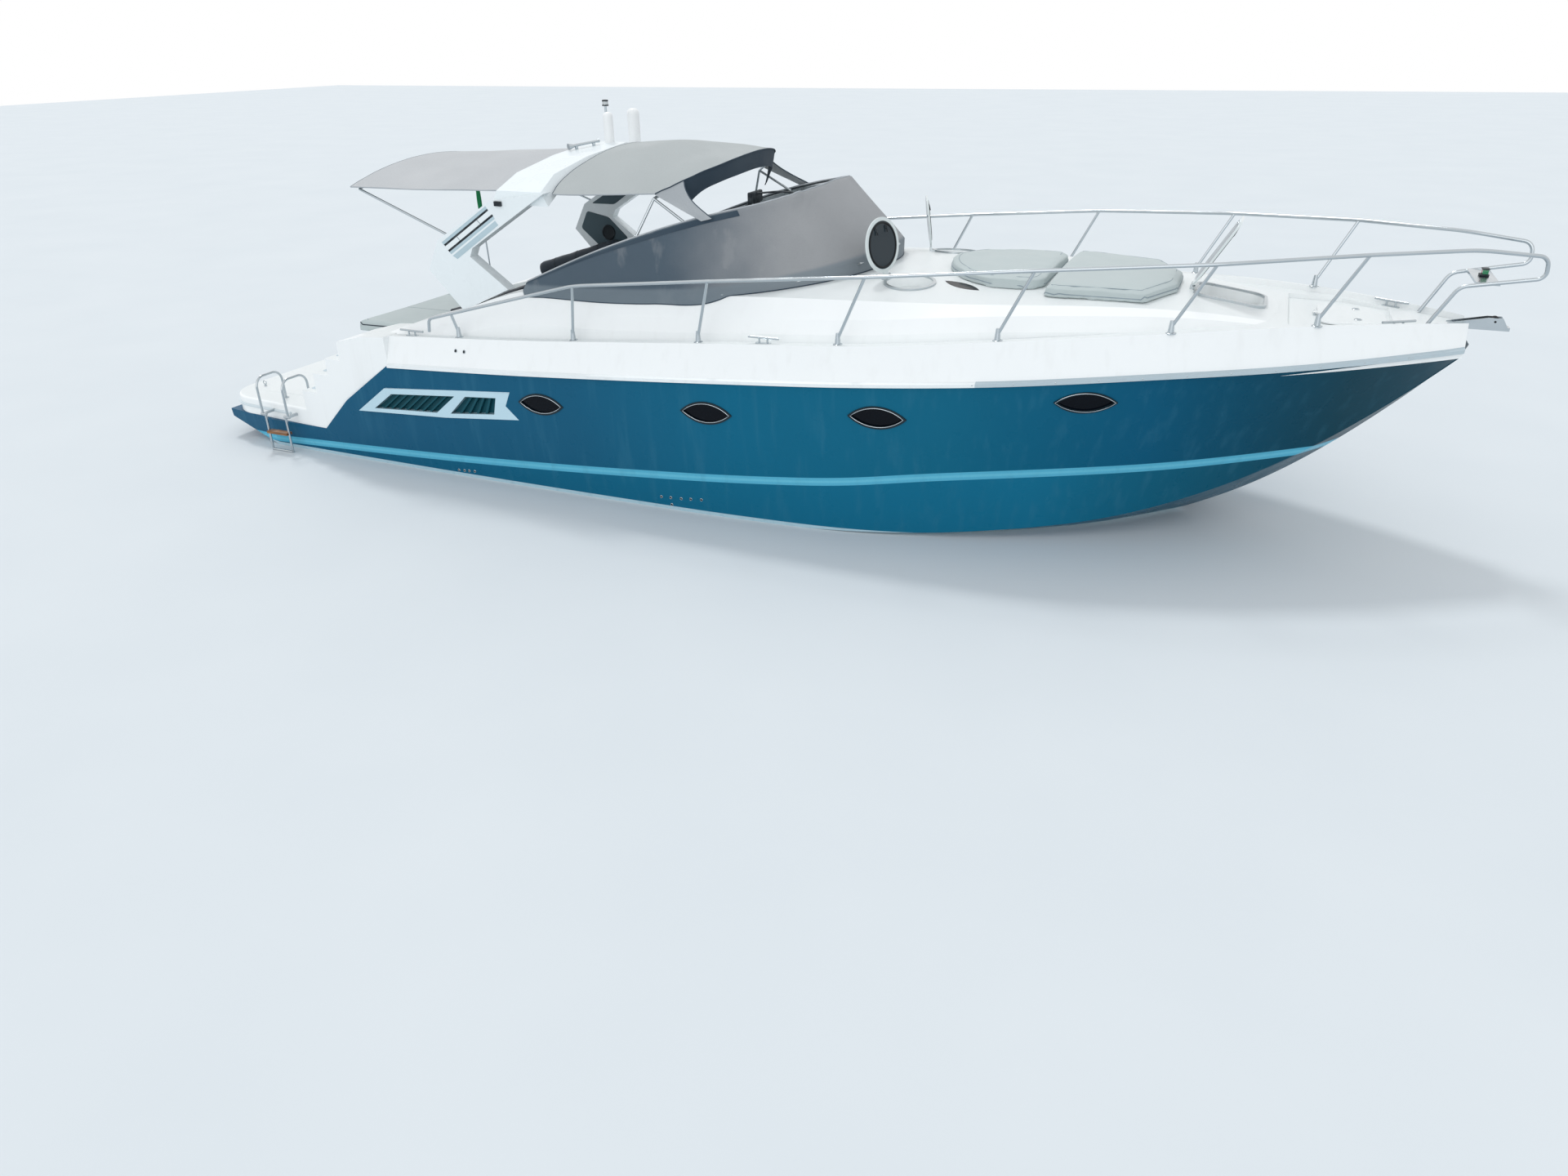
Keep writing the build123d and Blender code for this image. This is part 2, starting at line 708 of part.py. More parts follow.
# Deck: the moulding inside the toe rail, the coachroof and coamings on it, and the stern steps
roof = loft([roof_section(row) for row in ROOF], mode=Mode.PRIVATE)
with BuildPart() as deck:
    loft([deck_section(row) for row in STATIONS[4:]])
    add(box((TRANSOM_X, -REACH, 0), (STEP_TOP[0], REACH, REACH)), mode=Mode.SUBTRACT)
    add(roof)
    add(box((BAY_AFT_X, -WELL_HALF - LINER, SOLE_Z - SOLE_THICK),
            (WELL_FORE_X + LINER, WELL_HALF + LINER, SUNPAD_BASE_Z)))
    stern_outline = [STEP_TOP, (STEP_TOP[0], STERN_TOP_Z), STERN_BREAK]
    for index, (tread_x, tread_z) in enumerate(STERN_TREADS):
        stern_outline.append((tread_x, tread_z))
        if index + 1 < len(STERN_TREADS):
            stern_outline.append((tread_x, STERN_TREADS[index + 1][1]))
    stern_outline += [(PLATFORM_FORE_X, PLATFORM_UNDER_Z), STEP_FOOT, STEP_KNEE]
    with BuildPart(mode=Mode.PRIVATE) as stern:
        extrude(polygon(Plane.XZ, stern_outline), REACH, both=True)
        extrude(polygon(Plane.XY, (
            (STEP_TOP[0], -STERN_HALF_FORE), (PLATFORM_FORE_X, -STERN_HALF_AFT),
            (PLATFORM_FORE_X, STERN_HALF_AFT), (STEP_TOP[0], STERN_HALF_FORE))), REACH, mode=Mode.INTERSECT)
        add(box((PLATFORM_FORE_X - CUT_PAST, -WELL_HALF, PLATFORM_TOP_Z),
                (STERN_TREADS[2][0], WELL_HALF, REACH)), mode=Mode.SUBTRACT)
    add(stern.part)
    add(hull_shell, mode=Mode.SUBTRACT)
    add(box((STERN_TREADS[2][0] - BAY_LAP, -WELL_HALF, SUNPAD_BASE_Z),
            (WELL_AFT_X + BAY_LAP, WELL_HALF, REACH)), mode=Mode.SUBTRACT)
    add(box((WELL_AFT_X, -WELL_HALF, SOLE_Z), (WELL_FORE_X, WELL_HALF, REACH)), mode=Mode.SUBTRACT)
    add(tread_panel(*SOLE_PANEL, SOLE_Z))

# Rub rail along the sheer, one bar a side, cut to seat on the deck's lip
with BuildPart() as rub_rail:
    for side in (1, -1):
        loft([
            polygon(Plane.YZ.offset(x), [(side * (sheer_y + out), sheer_z + up) for out, up in RUB_PROFILE])
            for x, keel_z, chine_y, chine_z, sheer_y, sheer_z, *edge in STATIONS[5:]])
    add(deck.part, mode=Mode.SUBTRACT)
    add(hull_shell, mode=Mode.SUBTRACT)
save(rub_rail, "rub_rail")

# Swim platform, bolted over the counter
with BuildPart() as swim_platform:
    with BuildSketch(Plane.XY.offset(PLATFORM_UNDER_Z)) as outline:
        with BuildLine():
            Polyline((PLATFORM_FORE_X, -STERN_HALF_AFT), (PLATFORM_AFT_X, -PLATFORM_AFT_HALF),
                     (PLATFORM_AFT_X, PLATFORM_AFT_HALF), (PLATFORM_FORE_X, STERN_HALF_AFT), close=True)
        make_face()
        fillet(outline.vertices().sort_by(Axis.X)[:2], PLATFORM_CORNER_R)
    extrude(amount=PLATFORM_THICK)
    top_edges = swim_platform.edges().group_by(Axis.Z)[-1]
    fillet(top_edges.sort_by(Axis.X)[:-1], PLATFORM_EDGE_R)
    add(tread_panel(*PLATFORM_PANEL, PLATFORM_TOP_Z))
save(swim_platform, "swim_platform")

# Portholes: a pocket in the topsides with a rim and a dark pane, the same on both sides
with BuildPart() as porthole_frames:
    for x, z in PORTHOLES:
        plane = side_plane(x, z)
        extrude(almond(plane.offset(-PORT_DEPTH), PORT_LENGTH, PORT_HEIGHT), PORT_DEPTH + PORT_PROUD)
        extrude(almond(plane.offset(-PORT_DEPTH), PORT_LENGTH - 3 * PORT_RIM, PORT_HEIGHT - 2 * PORT_RIM),
                PORT_DEPTH + PORT_PROUD, mode=Mode.SUBTRACT)
    mirror(about=Plane.XZ)
save(porthole_frames, "porthole_frames")
with BuildPart() as porthole_glass:
    for x, z in PORTHOLES:
        plane = side_plane(x, z)
        extrude(almond(plane.offset(-PORT_DEPTH), PORT_LENGTH - 3 * PORT_RIM, PORT_HEIGHT - 2 * PORT_RIM),
                PORT_DEPTH - PANE_SUNK)
    mirror(about=Plane.XZ)
save(porthole_glass, "porthole_glass")

# Engine room vents: a raised frame round two openings, with slanted slats
vent_plane = side_plane((VENT_OUTLINE[0][0] + VENT_OUTLINE[3][0]) / 2, VENT_MIDDLE_Z)
vent_face = Plane(origin=vent_plane.origin, x_dir=(1, 0, 0), z_dir=(0, -1, 0))


def vent_shape(points):
    """Outline on the vent's plane from x and z on the hull side."""
    return polygon(vent_face, [(x - vent_face.origin.X, z - vent_face.origin.Z) for x, z in points])


with BuildPart() as engine_vents:
    extrude(vent_shape(VENT_OUTLINE), VENT_PROUD)
    extrude(vent_shape(VENT_OUTLINE), -VENT_DEPTH)
    for opening in VENT_OPENINGS:
        extrude(vent_shape(opening), VENT_PROUD, mode=Mode.SUBTRACT)
        extrude(vent_shape(opening), -VENT_DEPTH + VENT_BACK, mode=Mode.SUBTRACT)
    for (aft_low, aft_high, fore_high, fore_low), slats in zip(VENT_OPENINGS, VENT_SLATS):
        for index in range(slats):
            share = (index + 1) / (slats + 1)
            low_x = aft_low[0] + share * (fore_low[0] - aft_low[0])
            high_x = aft_high[0] + share * (fore_high[0] - aft_high[0])
            low_z = aft_low[1] + share * (fore_low[1] - aft_low[1]) - VENT_OVERLAP
            high_z = aft_high[1] + share * (fore_high[1] - aft_high[1]) + VENT_OVERLAP
            extrude(vent_shape((
                (low_x - SLAT / 2, low_z), (high_x - SLAT / 2, high_z),
                (high_x + SLAT / 2, high_z), (low_x + SLAT / 2, low_z))), -VENT_DEPTH + VENT_BACK / 2)
    mirror(about=Plane.XZ)
save(engine_vents, "engine_vents")

# Windscreen of bent panes in a metal frame, and the sun mesh stretched over it
with BuildPart() as windscreen_glass:
    add(screen_band(0, GLASS_THICK, SCREEN_SILL, SCREEN_HEAD))
save(windscreen_glass, "windscreen_glass")
with BuildPart() as windscreen_frame:
    add(screen_band(-RAIL_IN, SCREEN_RAIL, SCREEN_HEAD, 1))
    add(screen_band(-RAIL_IN, SCREEN_RAIL, SCREEN_FOOT, SCREEN_SILL))
    add(deck.part, mode=Mode.SUBTRACT)
save(windscreen_frame, "windscreen_frame")
with BuildPart() as screen_cover:
    add(screen_band(SCREEN_RAIL - RAIL_IN + COVER_GAP, COVER_THICK, SCREEN_SILL, 1))
    add(deck.part, mode=Mode.SUBTRACT)
save(screen_cover, "screen_cover")

# Radar arch: two cranked legs and a cambered beam
with BuildPart() as arch:
    for side in (1, -1):
        extrude(polygon(Plane.XZ.offset(-side * ARCH_LEG_Y), ARCH_LEG), ARCH_LEG_THICK / 2, both=True)
    beam = [(side * y, *rest) for side in (-1,) for y, *rest in ARCH_BEAM] + [
        (y, *rest) for y, *rest in reversed(ARCH_BEAM[:-1])]
    loft([polygon(Plane.XZ.offset(-y), (
        (aft_x, low_z), (aft_x + BEAM_BEVEL, high_z), (fore_x - BEAM_BEVEL, high_z), (fore_x, low_z)))
        for y, aft_x, fore_x, low_z, high_z in beam], ruled=True)
    for side in (1, -1):
        face = Plane.XZ.offset(-side * (ARCH_LEG_Y + ARCH_LEG_THICK / 2))
        for slot in ARCH_SLOTS:
            extrude(polygon(face, slot), SLOT_DEPTH, both=True, mode=Mode.SUBTRACT)
    add(deck.part, mode=Mode.SUBTRACT)
save(arch, "arch")

# Canopies stretched each side of the arch, on hoops
for name, rows in (("aft_canopy", AFT_CANOPY), ("fore_canopy", FORE_CANOPY)):
    with BuildPart() as canopy:
        sections = []
        for x, half, side_z, crown_z in rows:
            with BuildSketch(Plane.YZ.offset(x)) as sketch:
                with BuildLine():
                    ThreePointArc((-half, side_z), (0, crown_z), (half, side_z))
                    Line((half, side_z), (half - CANOPY_THICK, side_z))
                    ThreePointArc((half - CANOPY_THICK, side_z), (0, crown_z - CANOPY_THICK),
                                  (CANOPY_THICK - half, side_z))
                    Line((CANOPY_THICK - half, side_z), (-half, side_z))
                make_face()
            sections.append(sketch.sketch)
        loft(sections)
        if name == "fore_canopy":
            with BuildSketch() as plan:
                with BuildLine():
                    ThreePointArc(CANOPY_CORNER, CANOPY_NOSE, (CANOPY_CORNER[0], -CANOPY_CORNER[1]))
                    Polyline(CANOPY_CORNER, (CANOPY_CORNER[0], REACH), (-REACH, REACH), (-REACH, -REACH),
                             (CANOPY_CORNER[0], -REACH), (CANOPY_CORNER[0], -CANOPY_CORNER[1]))
                make_face()
            extrude(plan.sketch, REACH + TRIM, mode=Mode.INTERSECT)
        add(arch.part, mode=Mode.SUBTRACT)
    save(canopy, name)

with BuildPart() as canopy_frame:
    for side in (1, -1):
        for start, end in CANOPY_STRUTS:
            add(tube([(x, side * y, z) for x, y, z in (start, end)], 0, FRAME_TUBE_R))
    for x, half, low_z, crown_x, crown_z in CANOPY_HOOPS:
        with BuildLine() as path:
            ThreePointArc((x, -half, low_z), (crown_x, 0, crown_z), (x, half, low_z))
        with BuildSketch(Plane(origin=path.line @ 0, z_dir=path.line % 0)):
            Circle(FRAME_TUBE_R)
        sweep(path=path.line)
    for piece in (arch, windscreen_frame, screen_cover):
        add(piece.part, mode=Mode.SUBTRACT)
save(canopy_frame, "canopy_frame")

# Guard rails: one bent tube a side on raked stanchions, whose heads are notched to the tube
with BuildPart() as guard_rails:
    rail_tube = tube([row[:3] for row in RAIL_POINTS], [row[3] for row in RAIL_POINTS[1:-1]], RAIL_TUBE_R)
    add(rail_tube)
    mirror(about=Plane.XZ)
    add(deck.part, mode=Mode.SUBTRACT)
save(guard_rails, "guard_rails")
with BuildLine() as rail_path:
    FilletPolyline(*[row[:3] for row in RAIL_POINTS], radius=[row[3] for row in RAIL_POINTS[1:-1]])
rail_wire = rail_path.wire()
with BuildPart() as stanchions:
    for foot_x, foot_y, head_x, head_y, head_z in STANCHIONS:
        foot = deck_point(foot_x, foot_y)
        head = rail_wire.distance_to_with_closest_points(Vertex(head_x, head_y, head_z))[1]
        along = rail_wire % rail_wire.param_at_point(head)
        add(tube([foot + Vector(0, 0, STANCHION_FOOT_H / 2), head], 0, STANCHION_TUBE_R))
        add(cone(upright(foot.X, foot.Y, foot.Z), STANCHION_FOOT_R, STANCHION_NECK_R,
                 -STANCHION_SUNK, STANCHION_FOOT_H))
        saddle = Plane(origin=head, z_dir=along)
        add(rod(saddle, RAIL_TUBE_R + SADDLE_GAP, -4 * RAIL_TUBE_R, 4 * RAIL_TUBE_R), mode=Mode.SUBTRACT)
    add(deck.part, mode=Mode.SUBTRACT)
    mirror(about=Plane.XZ)
save(stanchions, "stanchions")
with BuildPart() as pulpit_plate:
    extrude(polygon(Plane.XY.offset(PULPIT_Z), PULPIT_OUTLINE), PULPIT_THICK)
    add(guard_rails.part, mode=Mode.SUBTRACT)
save(pulpit_plate, "pulpit_plate")

# Running gear: a shaft line a side, the propeller turning with its shaft
shaft_rise = math.tan(math.radians(SHAFT_ANGLE))


def shaft_plane(x, side):
    """Plane across a shaft at x, facing forward."""
    origin = (x, side * SHAFT_Y, PROP_Z + (x - PROP_X) * shaft_rise)
    return Plane(origin=origin, x_dir=(0, 1, 0), z_dir=(1, 0, shaft_rise))


for side, name in ((-1, "starboard"), (1, "port")):
    hub_plane = shaft_plane(PROP_X, side)
    with BuildPart() as propeller:
        add(rod(hub_plane, PROP_HUB_R, -PROP_HUB_LENGTH / 2, PROP_HUB_LENGTH / 2))
        cone_end = -PROP_HUB_LENGTH / 2
        add(cone(hub_plane, PROP_HUB_R / 3, PROP_HUB_R, cone_end - PROP_CONE, cone_end))
        add(rod(hub_plane, SHAFT_R, 0, SHAFT_LENGTH))
        for index in range(BLADES):
            outward = hub_plane.x_dir.rotate(Axis((0, 0, 0), hub_plane.z_dir), 360 / BLADES * index)
            turn = Plane(origin=hub_plane.origin, x_dir=hub_plane.z_dir, z_dir=outward)
            sections = []
            for radius, chord, pitch in BLADE_ROWS:
                lean = math.radians(side * (90 - pitch))
                sections.append(polygon(turn.offset(radius), [
                    (along * chord * math.cos(lean) - across * BLADE_THICK * math.sin(lean),
                     along * chord * math.sin(lean) + across * BLADE_THICK * math.cos(lean))
                    for along, across in BLADE_OUTLINE]))
            loft(sections, ruled=True)
    save(propeller, f"propeller_{name}")

with BuildPart() as shaft_brackets:
    for side in (1, -1):
        bearing = shaft_plane(BRACKET_X, side)
        with BuildSketch(upright(*bearing.origin)):
            Ellipse(*BRACKET_FIN)
        extrude(amount=BRACKET_STRUT)
        add(rod(bearing, SHAFT_R + BRACKET_WALL, -BRACKET_LENGTH / 2, BRACKET_LENGTH / 2))
        add(rod(bearing, SHAFT_R + SHAFT_FIT, -BRACKET_LENGTH, BRACKET_LENGTH), mode=Mode.SUBTRACT)
    add(hull_shell, mode=Mode.SUBTRACT)
save(shaft_brackets, "shaft_brackets")


def tab_plane(side):
    """Plane at a trim tab's hinge, its X along the hull's bottom edge and its Z forward."""
    lean = math.atan2(LINES[0][2] - LINES[0][0], LINES[0][1])
    return Plane(origin=(TRANSOM_X - TAB_HINGE_R - TAB_GAP, side * TAB_Y,
                         LINES[0][0] + TAB_Y * math.tan(lean) + TAB_UP),
                 x_dir=(0, math.cos(lean), side * math.sin(lean)), z_dir=(1, 0, 0))


for side, name in ((-1, "starboard"), (1, "port")):
    with BuildPart() as rudder:
        with BuildSketch(upright(RUDDER_X - RUDDER_CHORD * RUDDER_BALANCE, side * RUDDER_Y, RUDDER_TOP_Z)):
            Ellipse(RUDDER_CHORD / 2, RUDDER_THICK / 2)
        extrude(amount=-RUDDER_HEIGHT)
        stock = upright(RUDDER_X, side * RUDDER_Y, RUDDER_TOP_Z)
        add(rod(stock, RUDDER_STOCK_R, -RUDDER_HEIGHT / 2, STOCK_LENGTH))
    save(rudder, f"rudder_{name}")

    with BuildPart() as tab:
        with BuildSketch(tab_plane(side)):
            Rectangle(TAB_WIDTH, TAB_THICK)
        extrude(amount=-TAB_LENGTH)
        across = Plane(origin=tab_plane(side).origin, x_dir=(1, 0, 0), z_dir=tab_plane(side).x_dir)
        with BuildSketch(across.offset(-TAB_WIDTH / 2)):
            Circle(TAB_HINGE_R)
        extrude(amount=TAB_WIDTH)
    save(tab, f"trim_tab_{name}")

with BuildPart() as tab_hinges:
    for side in (1, -1):
        for end in (1, -1):
            ear = Plane(origin=tab_plane(side).origin, x_dir=(1, 0, 0), z_dir=tab_plane(side).x_dir)
            with BuildSketch(ear.offset(end * (TAB_WIDTH / 2 + EAR_GAP))):
                Circle(TAB_HINGE_R)
                with Locations(((TAB_HINGE_R + TAB_GAP) / 2, 0)):
                    Rectangle(TAB_HINGE_R + TAB_GAP, 2 * TAB_HINGE_R)
            extrude(amount=end * EAR_LENGTH)
    add(hull_shell, mode=Mode.SUBTRACT)
save(tab_hinges, "tab_hinges")

# Hatches: a seated ring with two ears, and a lid standing open on them
deck_cuts = []
hull_cuts = []


def hinge_ears(plane, axis_x, axis_z, foot_x, foot_z):
    """Two fixed ears on a foot, either side of the barrel's place."""
    for end in (1, -1):
        near = end * (BARREL_LENGTH / 2 + EAR_GAP)
        far = end * (BARREL_LENGTH / 2 + EAR_GAP + EAR_LENGTH)
        low, high = min(near, far), max(near, far)
        add(pin(plane, axis_x, axis_z, low, high, BARREL_R))
        add(brick(plane, (axis_x - BARREL_R, low, -RING_SUNK), (axis_x + BARREL_R, high, axis_z)))
        add(brick(plane, (axis_x, low, -RING_SUNK), (foot_x, high, foot_z)))


def hinge_arm(plane, axis_x, axis_z, reach):
    """Barrel and arm of a lid."""
    add(pin(plane, axis_x, axis_z, -BARREL_LENGTH / 2, BARREL_LENGTH / 2, BARREL_R))
    add(brick(plane, (axis_x, -BARREL_LENGTH / 2, axis_z - LID_THICK / 2),
              (reach, BARREL_LENGTH / 2, axis_z + LID_THICK / 2)))


lid_z = RING_PROUD + CLEARANCE
axis_z = lid_z + LID_THICK / 2
for name, x, y, heading, length, width, corner, opened in HATCHES:
    turn = math.radians(heading)
    plane = tilt_plane(x, y, (math.cos(turn), math.sin(turn)))
    axis_x = -length / 2 - HINGE_BACK
    outer = (length - 2 * RING_IN, width - 2 * RING_IN)
    inner = (outer[0] - 2 * RING_WIDTH, outer[1] - 2 * RING_WIDTH)
    with BuildPart() as hatch_ring:
        add(slab(plane, -RING_SUNK, RING_PROUD, outer, corner - RING_IN))
        add(slab(plane, -RING_SUNK, RING_PROUD, inner, corner - RING_IN - RING_WIDTH), mode=Mode.SUBTRACT)
        hinge_ears(plane, axis_x, axis_z, HINGE_REACH - length / 2, RING_PROUD)
        add(deck.part, mode=Mode.SUBTRACT)
    save(hatch_ring, f"hatch_ring_{name}")
    deck_cuts.append(slab(plane, -HATCH_DEPTH, RING_PROUD, inner, corner - RING_IN - RING_WIDTH))
    with BuildPart() as hatch_lid:
        add(slab(plane, lid_z, lid_z + LID_THICK, (length, width), corner))
        fillet(hatch_lid.faces().sort_by(Axis(plane.origin, plane.z_dir))[-1].edges(), LID_EDGE_R)
        hinge_arm(plane, axis_x, axis_z, HINGE_REACH - length / 2)
    hinge = Axis(plane.from_local_coords(Vector(axis_x, 0, axis_z)), plane.y_dir)
    hatch_lid.part = hatch_lid.part.rotate(hinge, -opened)
    save(hatch_lid, f"hatch_lid_{name}")

# Anchor pan with its locker lid
pan = Plane.XY.offset(PAN_Z)
pan_points = [(x, y) for x, y in PAN_OUTLINE] + [(x, -y) for x, y in reversed(PAN_OUTLINE)]
deck_cuts.append(extrude(polygon(pan, pan_points), 200, mode=Mode.PRIVATE))


def locker_outline(plane, inset):
    """Rounded outline of the locker lid, pulled in all round."""
    (aft_x, aft_half), (fore_x, fore_half) = LOCKER_OUTLINE
    with BuildSketch(plane) as sketch:
        with BuildLine():
            Polyline((aft_x + inset, aft_half - inset), (fore_x - inset, fore_half - inset),
                     (fore_x - inset, inset - fore_half), (aft_x + inset, inset - aft_half), close=True)
        make_face()
        fillet(sketch.vertices(), LOCKER_CORNER_R - inset)
    return sketch.sketch


locker_axis_x = LOCKER_OUTLINE[0][0] - HINGE_BACK
locker_axis_z = CLEARANCE + LID_THICK / 2
with BuildPart() as locker_hinges:
    hinge_ears(pan, locker_axis_x, locker_axis_z, locker_axis_x + BARREL_R, locker_axis_z)
    add(box((locker_axis_x - TRIM, -TRIM, PAN_Z - TRIM), (locker_axis_x + TRIM, TRIM, PAN_Z)),
        mode=Mode.SUBTRACT)
save(locker_hinges, "locker_hinges")
with BuildPart() as locker_lid:
    extrude(locker_outline(pan.offset(CLEARANCE), 0), LID_THICK)
    fillet(locker_lid.faces().sort_by(Axis.Z)[-1].edges(), LID_EDGE_R)
    hinge_arm(pan, locker_axis_x, locker_axis_z, LOCKER_OUTLINE[0][0] + HINGE_REACH)
save(locker_lid, "locker_lid")
deck_cuts.append(extrude(locker_outline(pan, LOCKER_LIP), -LOCKER_DEPTH, mode=Mode.PRIVATE))

# Bow roller between two cheeks
with BuildPart() as bow_roller:
    add(box((ROLLER_AFT_X, -ROLLER_CHEEK_Y - ROLLER_CHEEK, ROLLER_PLATE_Z),
            (ROLLER_FORE_X, ROLLER_CHEEK_Y + ROLLER_CHEEK, ROLLER_PLATE_Z + ROLLER_PLATE)))
    for side in (1, -1):
        cheek = Plane.XZ.offset(-side * (ROLLER_CHEEK_Y + ROLLER_CHEEK / 2))
        extrude(polygon(cheek, CHEEK_PROFILE), ROLLER_CHEEK / 2, both=True)
    add(pin(Plane.XY, ROLLER_X, ROLLER_Z, -TRIM, TRIM, ROLLER_PIN_R + PIN_FIT), mode=Mode.SUBTRACT)
    add(deck.part, mode=Mode.SUBTRACT)
    add(hull_shell, mode=Mode.SUBTRACT)
save(bow_roller, "bow_roller")
with BuildPart() as roller_wheel:
    add(pin(Plane.XY, ROLLER_X, ROLLER_Z, -ROLLER_HALF, ROLLER_HALF, ROLLER_R))
    pin_end = ROLLER_CHEEK_Y + ROLLER_CHEEK + ROLLER_PIN_PAST
    add(pin(Plane.XY, ROLLER_X, ROLLER_Z, -pin_end, pin_end, ROLLER_PIN_R))
save(roller_wheel, "roller_wheel")

# Mooring cleats
with BuildPart() as cleats:
    for x, y, turned in CLEATS:
        foot = deck_point(x, y)
        turn = math.radians(turned)
        base = Plane(origin=foot, x_dir=(math.cos(turn), math.sin(turn), 0), z_dir=(0, 0, 1))
        add(slab(base, -CLEAT_SUNK, CLEAT_BASE_H, CLEAT_BASE, CLEAT_R))
        for end in (1, -1):
            leg = Plane(origin=base.from_local_coords(Vector(end * CLEAT_LEG_Y, 0, 0)), z_dir=(0, 0, 1))
            add(rod(leg, CLEAT_LEG_R, 0, CLEAT_RISE))
        bar_middle = base.from_local_coords(Vector(0, 0, CLEAT_RISE))
        bar = Plane(origin=bar_middle, x_dir=(0, 0, 1), z_dir=base.x_dir)
        add(rod(bar, CLEAT_R, -CLEAT_LENGTH / 2, CLEAT_LENGTH / 2))
    add(deck.part, mode=Mode.SUBTRACT)
    mirror(about=Plane.XZ)
save(cleats, "cleats")

# Skylights flush in the coachroof
with BuildPart() as skylights:
    for x, y, turned in SKYLIGHTS:
        for side in (1, -1):
            turn = math.radians(side * turned)
            plane = tilt_plane(x, side * y, (math.cos(turn), math.sin(turn)))
            pane = almond(plane.offset(-SKYLIGHT_DEPTH), SKYLIGHT_LENGTH, SKYLIGHT_HEIGHT)
            extrude(pane, SKYLIGHT_DEPTH + SKYLIGHT_PROUD)
            deck_cuts.append(extrude(pane, 3 * SKYLIGHT_DEPTH, mode=Mode.PRIVATE))
save(skylights, "skylights")

# Foredeck sunpads, following the coachroof
for name in ("fore", "aft"):
    with BuildPart() as sunpad:
        with BuildSketch(Plane.XY.offset(PAN_Z)) as outline:
            with BuildLine():
                if name == "fore":
                    far_side = [(x, -y) for x, y in reversed(FORE_PAD_OUTLINE)]
                    Polyline(*FORE_PAD_OUTLINE, *far_side, close=True)
                else:
                    edge = PAD_MIDDLE_X
                    ThreePointArc((AFT_PAD_SHOULDER_X, AFT_PAD_HALF), (AFT_PAD_NOSE_X, 0),
                                  (AFT_PAD_SHOULDER_X, -AFT_PAD_HALF))
                    Polyline((AFT_PAD_SHOULDER_X, -AFT_PAD_HALF), (edge, -AFT_PAD_HALF),
                             (edge, AFT_PAD_HALF), (AFT_PAD_SHOULDER_X, AFT_PAD_HALF))
            make_face()
            corners = outline.vertices().sort_by(Axis.X)
            if name == "fore":
                fillet(corners, PAD_CORNER_R)
            else:
                fillet(corners[-2:], AFT_PAD_CORNER_R)
        extrude(amount=PAD_BLANK)
        add(Pos(0, 0, PAD_THICK) * roof, mode=Mode.INTERSECT)
        add(Pos(0, 0, PAD_LIFT) * roof, mode=Mode.SUBTRACT)
    save(sunpad, f"sunpad_{name}")

# Cockpit: benches and helm seat with their cushions, console, wheel, and the stern sunpad
with BuildPart() as cockpit_bases:
    for low, high in COCKPIT_BASES:
        add(box(low, high))
save(cockpit_bases, "cockpit_bases")
for name, boxes in (("cockpit_cushions", COCKPIT_PADS), ("stern_sunpad", (STERN_PAD,))):
    with BuildPart() as pads:
        for low, high in boxes:
            with BuildPart(mode=Mode.PRIVATE) as pad:
                add(box(low, high))
                fillet(pad.edges() - pad.edges().group_by(Axis.Z)[0], PAD_EDGE_R)
            add(pad.part)
        for low, high in COCKPIT_BASES:
            add(box(low, high), mode=Mode.SUBTRACT)
    save(pads, name)

wheel_tilt = math.radians(WHEEL_TILT)
wheel_plane = Plane(origin=WHEEL_CENTRE, x_dir=(0, 1, 0),
                    z_dir=(-math.cos(wheel_tilt), 0, math.sin(wheel_tilt)))
with BuildPart() as helm_console:
    extrude(polygon(Plane.XZ.offset(-HELM_Y[1]), HELM_PROFILE), HELM_Y[1] - HELM_Y[0])
    with BuildSketch(wheel_plane):
        Circle(COLUMN_R + PIN_FIT)
    extrude(amount=-COLUMN_LENGTH - CLEARANCE, mode=Mode.SUBTRACT)
save(helm_console, "helm_console")
with BuildPart() as steering_wheel:
    with BuildSketch(Plane(origin=wheel_plane.from_local_coords(Vector(WHEEL_R, 0, 0)),
                           x_dir=wheel_plane.x_dir, z_dir=wheel_plane.y_dir)):
        Circle(WHEEL_TUBE_R)
    revolve(axis=Axis(wheel_plane.origin, wheel_plane.z_dir))
    with BuildSketch(wheel_plane.offset(-WHEEL_HUB_LENGTH)):
        Circle(WHEEL_HUB_R)
    extrude(amount=WHEEL_HUB_LENGTH)
    for index in range(WHEEL_SPOKES):
        outward = wheel_plane.y_dir.rotate(Axis((0, 0, 0), wheel_plane.z_dir), 360 / WHEEL_SPOKES * index)
        hub_middle = wheel_plane.offset(-WHEEL_HUB_LENGTH / 2).origin
        with BuildSketch(Plane(origin=hub_middle, x_dir=wheel_plane.z_dir, z_dir=outward)):
            Rectangle(WHEEL_TUBE_R / 2, 2 * WHEEL_TUBE_R)
        extrude(amount=WHEEL_R)
    with BuildSketch(wheel_plane):
        Circle(COLUMN_R)
    extrude(amount=-COLUMN_LENGTH)
save(steering_wheel, "steering_wheel")

# Companionway and its sliding door
entry = extrude(polygon(Plane.XZ.offset(-ENTRY_Y[1]), ENTRY_PROFILE), ENTRY_Y[1] - ENTRY_Y[0],
                mode=Mode.PRIVATE)
deck_cuts.append(entry)
hull_cuts.append(entry)
with BuildPart() as companion_door:
    add(box(*DOOR_BOX))
save(companion_door, "companion_door")

# Engines, as plain blocks on their beds
with BuildPart() as engines:
    for side in (1, -1):
        add(box((ENGINE_X[0], side * SHAFT_Y - ENGINE_HALF, BAY_FLOOR_Z),
                (ENGINE_X[1], side * SHAFT_Y + ENGINE_HALF, ENGINE_TOP_Z)))
save(engines, "engines")

